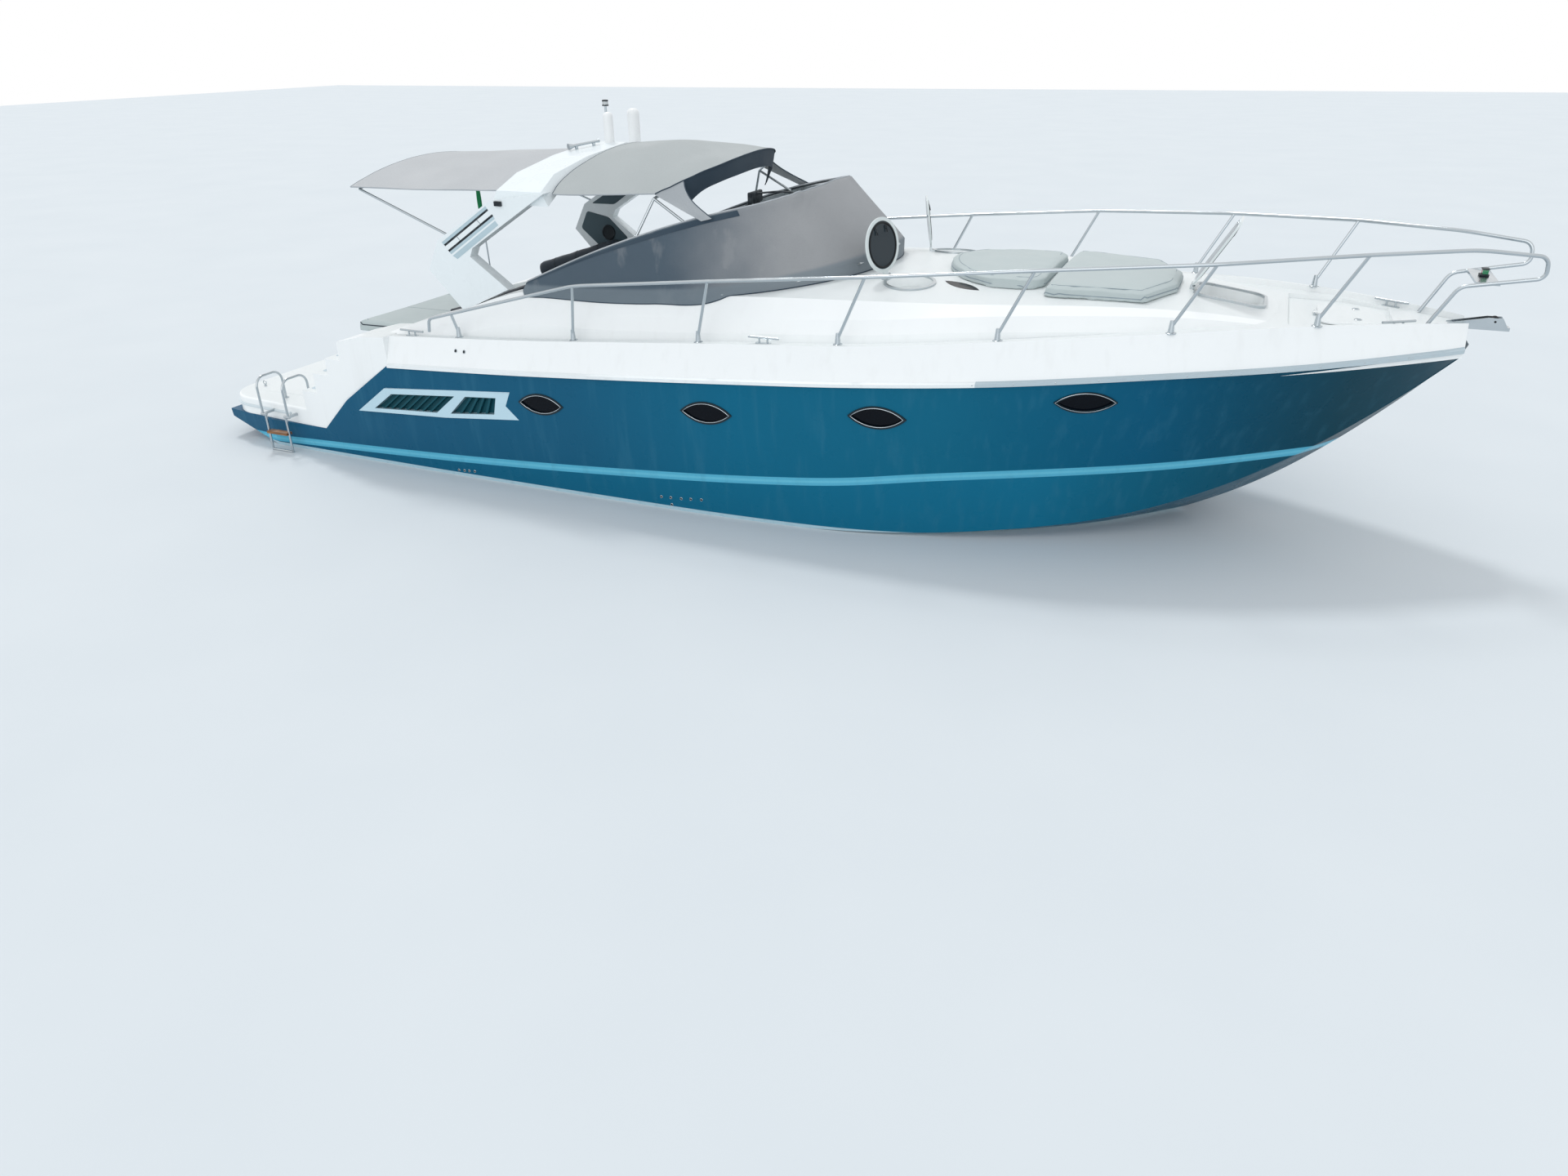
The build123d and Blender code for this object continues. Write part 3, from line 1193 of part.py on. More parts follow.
# Boarding ladder, hinged outboard on two hoops
with BuildPart() as ladder_handles:
    for rail_x, out in zip(LADDER_RAILS_X, (-1, 1)):
        x = rail_x + out * HANDLE_OFF
        add(tube([(x, HANDLE_INNER_Y, PLATFORM_TOP_Z), (x, HANDLE_INNER_Y, HANDLE_TOP_Z),
                  (x, LADDER_Y, HANDLE_TOP_Z), (x, LADDER_Y, LADDER_HINGE_Z)],
                 [HANDLE_BEND_R, HANDLE_BEND_R], LADDER_TUBE_R))
        add(rod(upright(x, HANDLE_INNER_Y, PLATFORM_TOP_Z), HANDLE_FOOT_R, 0, HANDLE_FOOT_H))
        start = rail_x + out * (LADDER_KNUCKLE / 2 + EAR_GAP)
        with BuildSketch(Plane.YZ.offset(start)):
            with Locations((LADDER_Y, LADDER_HINGE_Z)):
                Circle(LADDER_KNUCKLE_R)
        extrude(amount=out * (2 * (HANDLE_OFF - LADDER_KNUCKLE / 2)))
        add(box((x - LADDER_TUBE_R, LADDER_Y, LADDER_HINGE_Z - LADDER_TUBE_R),
                (x + LADDER_TUBE_R, HANDLE_INNER_Y, LADDER_HINGE_Z + LADDER_TUBE_R)))
    add(swim_platform.part, mode=Mode.SUBTRACT)
save(ladder_handles, "ladder_handles")
with BuildPart() as swim_ladder:
    for x in LADDER_RAILS_X:
        with BuildSketch(Plane.YZ.offset(x - LADDER_KNUCKLE / 2)):
            with Locations((LADDER_Y, LADDER_HINGE_Z)):
                Circle(LADDER_KNUCKLE_R)
        extrude(amount=LADDER_KNUCKLE)
        add(tube([(x, LADDER_Y, LADDER_HINGE_Z), (x, LADDER_Y, LADDER_FOOT_Z)], 0, LADDER_TUBE_R))
    for z in LADDER_RUNGS_Z:
        add(tube([(LADDER_RAILS_X[0], LADDER_Y, z), (LADDER_RAILS_X[1], LADDER_Y, z)], 0, LADDER_TUBE_R))
save(swim_ladder, "swim_ladder")
with BuildPart() as ladder_tread:
    add(box((LADDER_RAILS_X[0], LADDER_Y - TREAD_DEPTH / 2, TREAD_Z - TREAD_THICK),
            (LADDER_RAILS_X[1], LADDER_Y + TREAD_DEPTH / 2, TREAD_Z)))
    add(swim_ladder.part, mode=Mode.SUBTRACT)
save(ladder_tread, "ladder_tread")

# Mast with its lantern, and the domes on the arch
with BuildPart() as mast:
    add(rod(upright(MAST_X, MAST_Y), MAST_R, *MAST_Z))
    add(rod(upright(MAST_X, MAST_Y), LANTERN_R, MAST_Z[1], MAST_Z[1] + LANTERN_H))
    add(arch.part, mode=Mode.SUBTRACT)
save(mast, "mast")
with BuildPart() as domes:
    for x, y, radius, height in DOMES:
        with BuildPart(mode=Mode.PRIVATE) as dome:
            add(rod(upright(x, y, MAST_Z[0]), radius, -DOME_SUNK, height))
            fillet(dome.edges().group_by(Axis.Z)[-1], radius * DOME_ROUND)
        add(dome.part)
    add(arch.part, mode=Mode.SUBTRACT)
save(domes, "domes")

# Last cuts in the hull and the deck
for side in (1, -1):
    with BuildPart() as bores:
        with BuildSketch(shaft_plane(PROP_X, side)):
            Circle(SHAFT_R + SHAFT_FIT)
        extrude(amount=SHAFT_LENGTH + CLEARANCE)
        with BuildSketch(Plane.XY.offset(RUDDER_TOP_Z)):
            with Locations((RUDDER_X, side * RUDDER_Y)):
                Circle(RUDDER_STOCK_R + STOCK_FIT)
        extrude(amount=STOCK_LENGTH + CLEARANCE)
    hull_cuts.append(bores.part)
for x, z in PORTHOLES:
    plane = side_plane(x, z)
    pocket = extrude(almond(plane.offset(-PORT_DEPTH), PORT_LENGTH, PORT_HEIGHT), 3 * PORT_DEPTH,
                     mode=Mode.PRIVATE)
    hull_cuts += [pocket, mirrored(pocket)]
vent_pocket = extrude(vent_shape(VENT_OUTLINE), -VENT_DEPTH, mode=Mode.PRIVATE)
vent_pocket = extrude(vent_shape(VENT_OUTLINE), 2 * VENT_DEPTH, mode=Mode.PRIVATE) + vent_pocket
hull_cuts += [vent_pocket, mirrored(vent_pocket)]
with BuildPart() as finished_hull:
    add(hull_shell)
    add(hull_cuts, mode=Mode.SUBTRACT)
save(finished_hull, "hull")
with BuildPart() as finished_deck:
    add(deck.part)
    add(deck_cuts, mode=Mode.SUBTRACT)
    for low_z, high_z, lip_low, lip_high in DOOR_TRACKS:
        lip_x = DOOR_BOX[0][0] - TRACK_GAP
        start_y, end_y = DOOR_BOX[0][1], DOOR_BOX[1][1] + DOOR_TRAVEL
        add(box((lip_x - TRACK_LIP, start_y, low_z), (WELL_FORE_X, end_y, high_z)))
        add(box((lip_x - TRACK_LIP, start_y, lip_low), (lip_x, end_y, lip_high)))
save(finished_deck, "deck")
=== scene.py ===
"""Looks of an open sports cruiser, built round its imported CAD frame.

Everything is in metres in the frame's own axes: +X to the bow, +Y to port, +Z up from the
waterline. Heights and places that belong to the CAD are read from its nodes by ray casts.
"""

import json
import logging
from collections.abc import Callable
from dataclasses import dataclass, field
from enum import Enum
from math import asin, copysign, cos, hypot, pi, radians, sin, sqrt, tan, tau

import bmesh
import bpy
from mathutils import Matrix, Vector, noise
from mathutils.bvhtree import BVHTree


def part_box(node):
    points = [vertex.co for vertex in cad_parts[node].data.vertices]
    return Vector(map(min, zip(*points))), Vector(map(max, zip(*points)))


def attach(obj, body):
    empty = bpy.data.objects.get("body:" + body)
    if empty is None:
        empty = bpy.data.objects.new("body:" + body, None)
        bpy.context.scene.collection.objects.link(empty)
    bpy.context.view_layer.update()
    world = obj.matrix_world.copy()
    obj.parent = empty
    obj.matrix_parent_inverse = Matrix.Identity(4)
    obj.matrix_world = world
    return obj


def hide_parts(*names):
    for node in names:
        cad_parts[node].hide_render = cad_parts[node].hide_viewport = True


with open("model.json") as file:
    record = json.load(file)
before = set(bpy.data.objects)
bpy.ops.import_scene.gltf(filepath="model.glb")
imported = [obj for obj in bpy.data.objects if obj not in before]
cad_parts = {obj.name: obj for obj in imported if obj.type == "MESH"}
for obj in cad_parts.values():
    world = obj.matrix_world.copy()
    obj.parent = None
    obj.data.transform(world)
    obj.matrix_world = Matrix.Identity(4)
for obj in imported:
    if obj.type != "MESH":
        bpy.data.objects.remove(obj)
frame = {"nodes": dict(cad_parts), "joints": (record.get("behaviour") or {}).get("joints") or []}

log = logging.getLogger("cruiser")
Colour = tuple[float, float, float]
Line = list[Vector]
Grid = list[Line]
Mesh = tuple[Line, list[tuple[int, ...]]]
Outline = list[tuple[float, float]]
Profile = tuple[tuple[float, float], ...]
Socket = bpy.types.NodeSocket
Value = Socket | float | Colour
ROOT = "boat"
UP = Vector((0.0, 0.0, 1.0))
FORWARD = Vector((1.0, 0.0, 0.0))
PORT = Vector((0.0, 1.0, 0.0))


class Side(Enum):
    """Which side of the boat, as the sign of Y."""

    STARBOARD = -1
    PORT = 1


class Ends(Enum):
    """How a tube's line ends."""

    CAPPED = "capped"
    CLOSED = "closed"


# Constants of the screen's colour curve
CURVE_FOOT = 0.04045
CURVE_SLOPE = 12.92
CURVE_SHIFT = 0.055
CURVE_POWER = 2.4


def shade(code: str) -> Colour:
    """Turn a screen colour into the linear one that shaders use.

    Args:
        code: Its red, green and blue, two hexadecimal digits each.

    Returns:
        The linear colour.
    """
    return tuple(
        x / CURVE_SLOPE if x <= CURVE_FOOT else ((x + CURVE_SHIFT) / (1 + CURVE_SHIFT)) ** CURVE_POWER
        for x in (byte / 255 for byte in bytes.fromhex(code))
    )


# Node trees


class Tree:
    """Short calls for wiring one shader or group tree."""

    def __init__(self, tree: bpy.types.NodeTree) -> None:
        """Keep the tree that the calls write to."""
        self.tree = tree

    def put(self, kind: str, sockets: dict | None = None, **settings: object) -> bpy.types.Node:
        """Add a node.

        Args:
            kind: The node's type name.
            sockets: Values or outputs for its inputs, by name or index.
            **settings: The node's own properties.

        Returns:
            The new node.
        """
        node = self.tree.nodes.new(kind)
        for key, value in settings.items():
            setattr(node, key, value)
        for key, value in (sockets or {}).items():
            self.feed(node.inputs[key], value)
        return node

    def feed(self, socket: Socket, value: Value) -> None:
        """Link an output to a socket, or set the socket's own value.

        Args:
            socket: The input.
            value: An output, a number, or a colour of three parts.
        """
        if isinstance(value, bpy.types.NodeSocket):
            self.tree.links.new(value, socket)
        elif socket.type == "RGBA":
            socket.default_value = (*value, 1.0)
        else:
            socket.default_value = value

    def math(self, operation: str, first: Value, second: Value = 0.0) -> Socket:
        """Combine two values."""
        return self.put("ShaderNodeMath", {0: first, 1: second}, operation=operation).outputs[0]

    def blend(self, share: Value, first: Value, second: Value) -> Socket:
        """Mix two colours.

        Args:
            share: Share of the second colour.
            first: The first colour.
            second: The second colour.

        Returns:
            The mixed colour.
        """
        node = self.put("ShaderNodeMix", data_type="RGBA")
        for index, value in ((0, share), (6, first), (7, second)):
            self.feed(node.inputs[index], value)
        return node.outputs[2]

    def step(self, value: Value, low: float, high: float, start: float = 0.0, end: float = 1.0) -> Socket:
        """Ease from one value to another as an input crosses a range."""
        sockets = {"Value": value, "From Min": low, "From Max": high, "To Min": start, "To Max": end}
        return self.put("ShaderNodeMapRange", sockets, interpolation_type="SMOOTHSTEP").outputs["Result"]

    def above(self, value: Value, edge: float, soft: float) -> Socket:
        """Mask of what is over an edge, which is soft to each side."""
        return self.step(value, edge - soft, edge + soft)

    def below(self, value: Value, edge: float, soft: float) -> Socket:
        """Mask of what is under an edge, which is soft to each side."""
        return self.step(value, edge - soft, edge + soft, 1.0, 0.0)

    def band(self, value: Value, half: float, soft: float) -> Socket:
        """Mask of a band about nought."""
        return self.math("MULTIPLY", self.above(value, -half, soft), self.below(value, half, soft))

    def place(self) -> Socket:
        """Give the point's place in the frame, which moves with its piece."""
        return self.put("ShaderNodeTexCoord").outputs["Object"]

    def axes(self) -> tuple[Socket, Socket, Socket]:
        """Give the point's X, Y and Z as three outputs."""
        node = self.put("ShaderNodeSeparateXYZ", {0: self.place()})
        return node.outputs[0], node.outputs[1], node.outputs[2]

    def facing_up(self) -> Socket:
        """Give the upward part of the surface's normal."""
        normal = self.put("ShaderNodeNewGeometry").outputs["Normal"]
        return self.put("ShaderNodeSeparateXYZ", {0: normal}).outputs[2]

    def noise(self, scale: Value, detail: float = 3.0, stretch: tuple = (1.0, 1.0, 1.0)) -> Socket:
        """Give cloudy noise.

        Args:
            scale: Waves per metre.
            detail: Octaves.
            stretch: Scale along each axis.

        Returns:
            A value round one half.
        """
        spot = self.put("ShaderNodeMapping", {"Vector": self.place(), "Scale": stretch}).outputs[0]
        node = self.put("ShaderNodeTexNoise", {"Vector": spot, "Scale": scale, "Detail": detail})
        return node.outputs[0]

    def ramp(self, stops: tuple, reach: float) -> Socket:
        """Give a colour that changes along X.

        Args:
            stops: Place along X and colour of each stop.
            reach: Half the length of the span, about nought.

        Returns:
            The colour.
        """
        share = self.math("DIVIDE", self.math("ADD", self.axes()[0], reach), 2 * reach)
        node = self.put("ShaderNodeValToRGB", {"Fac": share})
        elements = node.color_ramp.elements
        while len(elements) < len(stops):
            elements.new(1.0)
        for element, (spot, colour) in zip(elements, stops):
            element.position = (spot + reach) / (2 * reach)
            element.color = (*colour, 1.0)
        return node.outputs[0]

    def profile(self, table: Profile, reach: float, scale: float) -> Socket:
        """Give a height that changes along X.

        Args:
            table: Points of the line: x, height.
            reach: Half the length of the span, about nought.
            scale: The greatest height that the curve can give.

        Returns:
            The height.
        """
        share = self.math("DIVIDE", self.math("ADD", self.axes()[0], reach), 2 * reach)
        curve = self.put("ShaderNodeFloatCurve", {"Value": share})
        points = curve.mapping.curves[0].points
        while len(points) < len(table):
            points.new(0.5, 0.5)
        for point, (spot, height) in zip(points, table):
            point.location = ((spot + reach) / (2 * reach), height / scale)
        curve.mapping.update()
        return self.math("MULTIPLY", curve.outputs[0], scale)

    def group(self, effect: bpy.types.NodeTree, output: str, **sockets: Value) -> Socket:
        """Place a shared effect with values for its inputs, and give one of its outputs."""
        return self.put("ShaderNodeGroup", sockets, node_tree=effect).outputs[output]


class Effects:
    """Shader node groups that more than one finish uses, each built once."""

    def __init__(self) -> None:
        """Build every group."""
        self.mottle = self._make("Mottle", {"Scale": 3.0, "Amount": 0.06}, ("Shade",), self._mottle)
        self.grain = self._make("Grain", {"Scale": 900.0}, ("Height",), self._grain)
        self.weave = self._make("Weave", {"Threads": 700.0}, ("Height", "Shade"), self._weave)
        self.wear = self._make("Edge wear", {"Amount": 0.5}, ("Mask",), self._wear)
        self.film = self._make("Salt film", {"Amount": 0.3, "Scale": 6.0}, ("Mask",), self._film)
        self.runs = self._make("Run marks", {"Amount": 0.3}, ("Mask",), self._runs)

    def _make(self, name: str, inputs: dict[str, float], outputs: tuple[str, ...],
              wire: Callable[[], None]) -> bpy.types.NodeTree:
        """Build one group.

        Args:
            name: The group's name.
            inputs: Its inputs and their usual values.
            outputs: Its outputs.
            wire: What wires it, from the parts that are kept here for it.

        Returns:
            The group.
        """
        group = bpy.data.node_groups.new(name, "ShaderNodeTree")
        for label, value in inputs.items():
            socket = group.interface.new_socket(label, in_out="INPUT", socket_type="NodeSocketFloat")
            socket.default_value = value
        for label in outputs:
            group.interface.new_socket(label, in_out="OUTPUT", socket_type="NodeSocketFloat")
        tree = Tree(group)
        self.parts = tree, tree.put("NodeGroupInput").outputs, tree.put("NodeGroupOutput").inputs
        wire()
        return group

    def _mottle(self) -> None:
        """Wire a slow change of brightness."""
        tree, given, result = self.parts
        cloud = tree.math("SUBTRACT", tree.noise(given["Scale"], 4.0), 0.5)
        tree.feed(result["Shade"], tree.math("ADD", tree.math("MULTIPLY", cloud, given["Amount"]), 1.0))

    def _grain(self) -> None:
        """Wire fine cells with soft edges, as in moulded plastic or hide."""
        tree, given, result = self.parts
        cells = tree.put("ShaderNodeTexVoronoi", {"Vector": tree.place(), "Scale": given["Scale"]})
        fine = tree.noise(tree.math("MULTIPLY", given["Scale"], 0.35), 2.0)
        total = tree.math("ADD", tree.math("MULTIPLY", cells.outputs["Distance"], 0.6), fine)
        tree.feed(result["Height"], tree.math("MULTIPLY", total, 0.6))

    def _weave(self) -> None:
        """Wire two sets of crossing threads."""
        tree, given, result = self.parts
        x, y, z = tree.axes()
        lean = tree.math("MULTIPLY", z, 0.7)
        waves = []
        for way in (tree.math("ADD", x, lean), tree.math("ADD", y, lean)):
            turn = tree.math("MULTIPLY", tree.math("MULTIPLY", way, given["Threads"]), tau)
            waves.append(tree.math("ABSOLUTE", tree.math("SINE", turn)))
        height = tree.math("MAXIMUM", *waves)
        tree.feed(result["Height"], height)
        tree.feed(result["Shade"], tree.math("MULTIPLY", height, tree.noise(90.0, 2.0)))

    def _mask(self, first: Socket, second: Socket) -> None:
        """Put out two masks together, at the amount asked for.

        Args:
            first: One mask.
            second: The other.
        """
        tree, given, result = self.parts
        both = tree.math("MULTIPLY", first, second)
        tree.feed(result["Mask"], tree.math("MULTIPLY", both, given["Amount"]))

    def _wear(self) -> None:
        """Wire rubbed edges, broken up by noise."""
        tree = self.parts[0]
        sharp = tree.put("ShaderNodeNewGeometry").outputs["Pointiness"]
        self._mask(tree.step(sharp, 0.52, 0.58), tree.step(tree.noise(14.0), 0.4, 0.65))

    def _film(self) -> None:
        """Wire a dried film of salt on what faces up."""
        tree, given, _ = self.parts
        level = tree.step(tree.facing_up(), 0.1, 0.9)
        self._mask(tree.step(tree.noise(given["Scale"], 6.0), 0.42, 0.7), level)

    def _runs(self) -> None:
        """Wire faint upright marks left by running water."""
        tree = self.parts[0]
        upright = tree.step(tree.math("ABSOLUTE", tree.facing_up()), 0.3, 0.75, 1.0, 0.0)
        self._mask(tree.step(tree.noise(11.0, 4.0, (1.0, 1.0, 0.06)), 0.5, 0.75), upright)


EFFECTS = Effects()


# Finishes

PALETTE: dict[str, bpy.types.Material] = {}
SALT = shade("e4e8e8")


@dataclass(frozen=True)
class Finish:
    """A surface's colour, gloss and small detail."""

    name: str
    colour: Colour
    roughness: float = 0.4
    spread: float = 0.1
    metallic: float = 0.0
    specular: float = 0.4
    coat: float = 0.0
    coat_roughness: float = 0.08
    sheen: float = 0.0
    transmission: float = 0.0
    mottle: float = 0.05
    mottle_scale: float = 2.5
    grain: float = 700.0
    grain_depth: float = 0.00012
    wear: float = 0.0
    wear_colour: Colour = (0.5, 0.5, 0.5)
    film: float = 0.12
    runs: float = 0.0
    runs_colour: Colour = (0.35, 0.33, 0.28)

    def paint(self, tree: Tree) -> Value:
        """Give the colour before wear and salt."""
        return self.colour

    def relief(self, tree: Tree) -> Socket:
        """Give the height of the small detail."""
        return tree.group(EFFECTS.grain, "Height", Scale=self.grain)

    def gloss(self, tree: Tree) -> Socket:
        """Give the roughness, varied over the surface."""
        low, high = self.roughness - self.spread / 2, self.roughness + self.spread / 2
        return tree.step(tree.noise(5.0, 4.0), 0.3, 0.7, max(low, 0.02), min(high, 1.0))

    def material(self) -> bpy.types.Material:
        """Build the material, once for each name.

        Returns:
            The material.
        """
        if self.name in PALETTE:
            return PALETTE[self.name]
        material = PALETTE[self.name] = bpy.data.materials.new(f"{self.name}_finish")
        material.use_nodes = True
        material.node_tree.nodes.clear()
        tree = Tree(material.node_tree)
        shader = tree.put("ShaderNodeBsdfPrincipled", {
            "Metallic": self.metallic, "Specular IOR Level": self.specular, "Coat Weight": self.coat,
            "Coat Roughness": self.coat_roughness, "Sheen Weight": self.sheen,
            "Transmission Weight": self.transmission,
        })
        tree.put("ShaderNodeOutputMaterial", {"Surface": shader.outputs[0]})
        tone = tree.group(EFFECTS.mottle, "Shade", Scale=self.mottle_scale, Amount=2 * self.mottle)
        scaled = tree.put("ShaderNodeVectorMath", operation="SCALE")
        tree.feed(scaled.inputs[0], self.paint(tree))
        tree.feed(scaled.inputs["Scale"], tone)
        colour = scaled.outputs[0]
        for effect, amount, hue in (
            (EFFECTS.runs, self.runs, self.runs_colour), (EFFECTS.film, self.film, SALT),
            (EFFECTS.wear, self.wear, self.wear_colour),
        ):
            if amount:
                colour = tree.blend(tree.group(effect, "Mask", Amount=amount), colour, hue)
        tree.feed(shader.inputs["Base Color"], colour)
        tree.feed(shader.inputs["Roughness"], self.gloss(tree))
        relief = {"Height": self.relief(tree), "Distance": self.grain_depth, "Strength": 1.0}
        tree.feed(shader.inputs["Normal"], tree.put("ShaderNodeBump", relief).outputs[0])
        return material


@dataclass(frozen=True)
class Topsides(Finish):
    """Blue gelcoat, darker towards the bow by painted shade, with a sheer-following stripe, boot top and
    antifouling.
    """

    reach: float = 6.0
    # Colours along X above the stripe, fitted place by place to the lit hull, so their darkening towards the
    # bow is painted shade
    shaded_hues: tuple = (
        (-6.0, shade("1c5777")),
        (-1.3, shade("195a79")),
        (0.4, shade("106584")),
        (2.2, shade("126582")),
        (3.75, shade("0b5878")),
        (5.2, shade("033d4e")),
    )
    # The same below the stripe, also carrying painted shade along X
    low_shaded_hues: tuple = (
        (-6.0, shade("105574")),
        (0.0, shade("136786")),
        (2.9, shade("146e8e")),
        (5.2, shade("084254")),
    )
    # The stripe's middle height along the hull: x, z
    stripe_line: tuple = (
        (-6.0, 0.05), (-4.56, 0.11), (-2.43, 0.215), (-0.56, 0.34), (1.08, 0.48), (2.52, 0.65), (5.13, 0.79),
        (6.0, 0.9),
    )
    stripe_half: float = 0.038
    stripe: Colour = shade("58b0cd")
    # Painted highlight along the middle of the stripe
    stripe_highlight: Colour = shade("78cce2")
    boot: Colour = shade("b0cdd8")
    boot_top: float = 0.035
    bottom: Colour = shade("161e2c")
    bottom_top: float = -0.015
    edge: float = 0.002

    def paint(self, tree: Tree) -> Socket:
        """Lay the bands over each other from the sheer down.

        Args:
            tree: The material's tree.

        Returns:
            The colour.
        """
        z = tree.axes()[2]
        over = tree.math("SUBTRACT", z, tree.profile(self.stripe_line, self.reach, 1.0))
        # Hull colours with painted shade along X, above and below the stripe
        high, low = (tree.ramp(stops, self.reach) for stops in (self.shaded_hues, self.low_shaded_hues))
        hull = tree.blend(tree.below(over, 0.0, 2 * self.edge), high, low)
        striped = tree.blend(tree.band(over, self.stripe_half, 0.003), hull, self.stripe)
        # Painted highlight: a soft lighter line along the stripe's middle
        inner = tree.math("MULTIPLY", tree.band(over, 0.3 * self.stripe_half, 0.01), 0.5)
        highlighted = tree.blend(inner, striped, self.stripe_highlight)
        booted = tree.blend(tree.below(z, self.boot_top, self.edge), highlighted, self.boot)
        return tree.blend(tree.below(z, self.bottom_top, self.edge), booted, self.bottom)


@dataclass(frozen=True)
class Moulding(Finish):
    """White gelcoat whose level walkways carry a fine non-skid pattern."""

    tread: Colour = shade("e2e9e9")
    tread_scale: float = 210.0
    treads: bool = True

    def _level(self, tree: Tree) -> Socket:
        """Mask of the walkways: level, and clear of the moulded edges."""
        up = tree.step(tree.facing_up(), 0.965, 0.985)
        return tree.math("MULTIPLY", up, 1.0 if self.treads else 0.0)

    def paint(self, tree: Tree) -> Socket:
        """Tint the walkways a little."""
        return tree.blend(tree.math("MULTIPLY", self._level(tree), 0.55), self.colour, self.tread)

    def relief(self, tree: Tree) -> Socket:
        """Give the non-skid's small diamonds on the walkways, and smooth gelcoat elsewhere.

        Args:
            tree: The material's tree.

        Returns:
            The height.
        """
        x, y, _ = tree.axes()
        waves = []
        for way in (tree.math("ADD", x, y), tree.math("SUBTRACT", x, y)):
            waves.append(tree.math("SINE", tree.math("MULTIPLY", way, self.tread_scale * tau / 2)))
        diamonds = tree.step(tree.math("MULTIPLY", *waves), -0.1, 0.4)
        smooth = tree.math("MULTIPLY", tree.noise(30.0), 0.12)
        return tree.math("ADD", tree.math("MULTIPLY", diamonds, self._level(tree)), smooth)


@dataclass(frozen=True)
class Cloth(Finish):
    """Woven cloth, with threads, and faded patches."""

    roughness: float = 0.8
    specular: float = 0.1
    sheen: float = 0.1
    grain_depth: float = 0.0012
    film: float = 0.0
    threads: float = 420.0
    faded: Colour = shade("dcdede")
    fade: float = 0.35
    # Painted shade in the hollows between threads
    thread_shade: Colour = (0.04, 0.045, 0.05)

    def paint(self, tree: Tree) -> Socket:
        """Fade the cloth in patches and paint shade between its threads.

        Args:
            tree: The material's tree.

        Returns:
            The colour.
        """
        weave = tree.group(EFFECTS.weave, "Shade", Threads=self.threads)
        worn = tree.blend(tree.step(tree.noise(1.6, 5.0), 0.4, 0.75, 0.0, self.fade), self.colour, self.faded)
        return tree.blend(tree.step(weave, 0.0, 0.35, 0.3, 0.0), worn, self.thread_shade)

    def relief(self, tree: Tree) -> Socket:
        """Give the threads' height, with slack in the cloth."""
        weave = tree.group(EFFECTS.weave, "Height", Threads=self.threads)
        return tree.math("ADD", tree.math("MULTIPLY", weave, 0.5), tree.noise(26.0, 3.0))


@dataclass(frozen=True)
class CoverCloth(Cloth):
    """Mesh over the windscreen: tinted glass behind it and painted shade darken it aft, and a pale skirt runs
    along its foot.
    """

    # Tinted glass seen through the mesh, together with painted shade
    glass_and_shade: Colour = shade("485a68")
    skirt: Colour = shade("7e8a92")
    # Foot of the screen: x, z
    foot_line: tuple = (
        (-2.0, 1.85), (-1.35, 1.865), (-0.6, 1.895), (0.08, 1.96), (0.68, 2.06), (1.08, 2.15), (1.4, 2.24),
    )
    reach: float = 2.0
    highest: float = 3.0
    skirt_top: float = 0.06
    glass_shade_from: float = 0.75
    glass_shade_to: float = -0.6

    def paint(self, tree: Tree) -> Socket:
        """Lay the dark glass zone of painted shade, broken by painted reflections, and the pale skirt over
        the woven colour.

        Args:
            tree: The material's tree.

        Returns:
            The colour.
        """
        x, _, z = tree.axes()
        over = tree.math("SUBTRACT", z, tree.profile(self.foot_line, self.reach, self.highest))
        wander = tree.math("MULTIPLY", tree.math("SUBTRACT", tree.noise(1.4, 3.0), 0.5), 0.9)
        # Painted shade: dark aft over the glass, fading out forward where the cover is lit
        glass = tree.step(tree.math("ADD", x, wander), self.glass_shade_to, self.glass_shade_from, 0.92, 0.06)
        # Painted reflections of the posts: paler upright streaks across the dark zone
        reflection_streaks = tree.step(tree.noise(2.6, 4.0, (1.6, 1.6, 0.7)), 0.56, 0.66, 1.0, 0.72)
        colour = tree.blend(tree.math("MULTIPLY", glass, reflection_streaks), Cloth.paint(self, tree), self.glass_and_shade)
        low = tree.step(over, self.skirt_top - 0.02, self.skirt_top + 0.02, 0.75, 0.0)
        return tree.blend(low, colour, self.skirt)


@dataclass(frozen=True)
class Hide(Finish):
    """Soft vinyl of a pad, with pebbled grain and slight creasing."""

    roughness: float = 0.5
    spread: float = 0.12
    specular: float = 0.2
    grain: float = 420.0
    grain_depth: float = 0.0012
    film: float = 0.0
    creases: float = 9.0

    def relief(self, tree: Tree) -> Socket:
        """Add creases to the grain."""
        grain = tree.group(EFFECTS.grain, "Height", Scale=self.grain)
        return tree.math("ADD", tree.math("MULTIPLY", grain, 0.4), tree.noise(self.creases, 5.0))


@dataclass(frozen=True)
class Lid(Finish):
    """A hatch lid: tinted acrylic inside a pale frame, by its own centre and axes."""

    centre: tuple = (0.0, 0.0, 0.0)
    along: tuple = (1.0, 0.0, 0.0)
    across: tuple = (0.0, 1.0, 0.0)
    half: tuple = (0.2, 0.2)
    power: float = 2.0
    rim: Colour = shade("d6dede")

    def paint(self, tree: Tree) -> Socket:
        """Lay the frame round the pane.

        Args:
            tree: The material's tree.

        Returns:
            The colour.
        """
        inward = {0: tree.place(), 1: self.centre}
        spot = tree.put("ShaderNodeVectorMath", inward, operation="SUBTRACT").outputs[0]
        total = 0.0
        for way, half in ((self.along, self.half[0]), (self.across, self.half[1])):
            dot = tree.put("ShaderNodeVectorMath", {0: spot, 1: way}, operation="DOT_PRODUCT")
            part = tree.math("ABSOLUTE", tree.math("DIVIDE", dot.outputs["Value"], half))
            total = tree.math("ADD", tree.math("POWER", part, self.power), total)
        return tree.blend(tree.above(total, 1.0, 0.03), self.colour, self.rim)


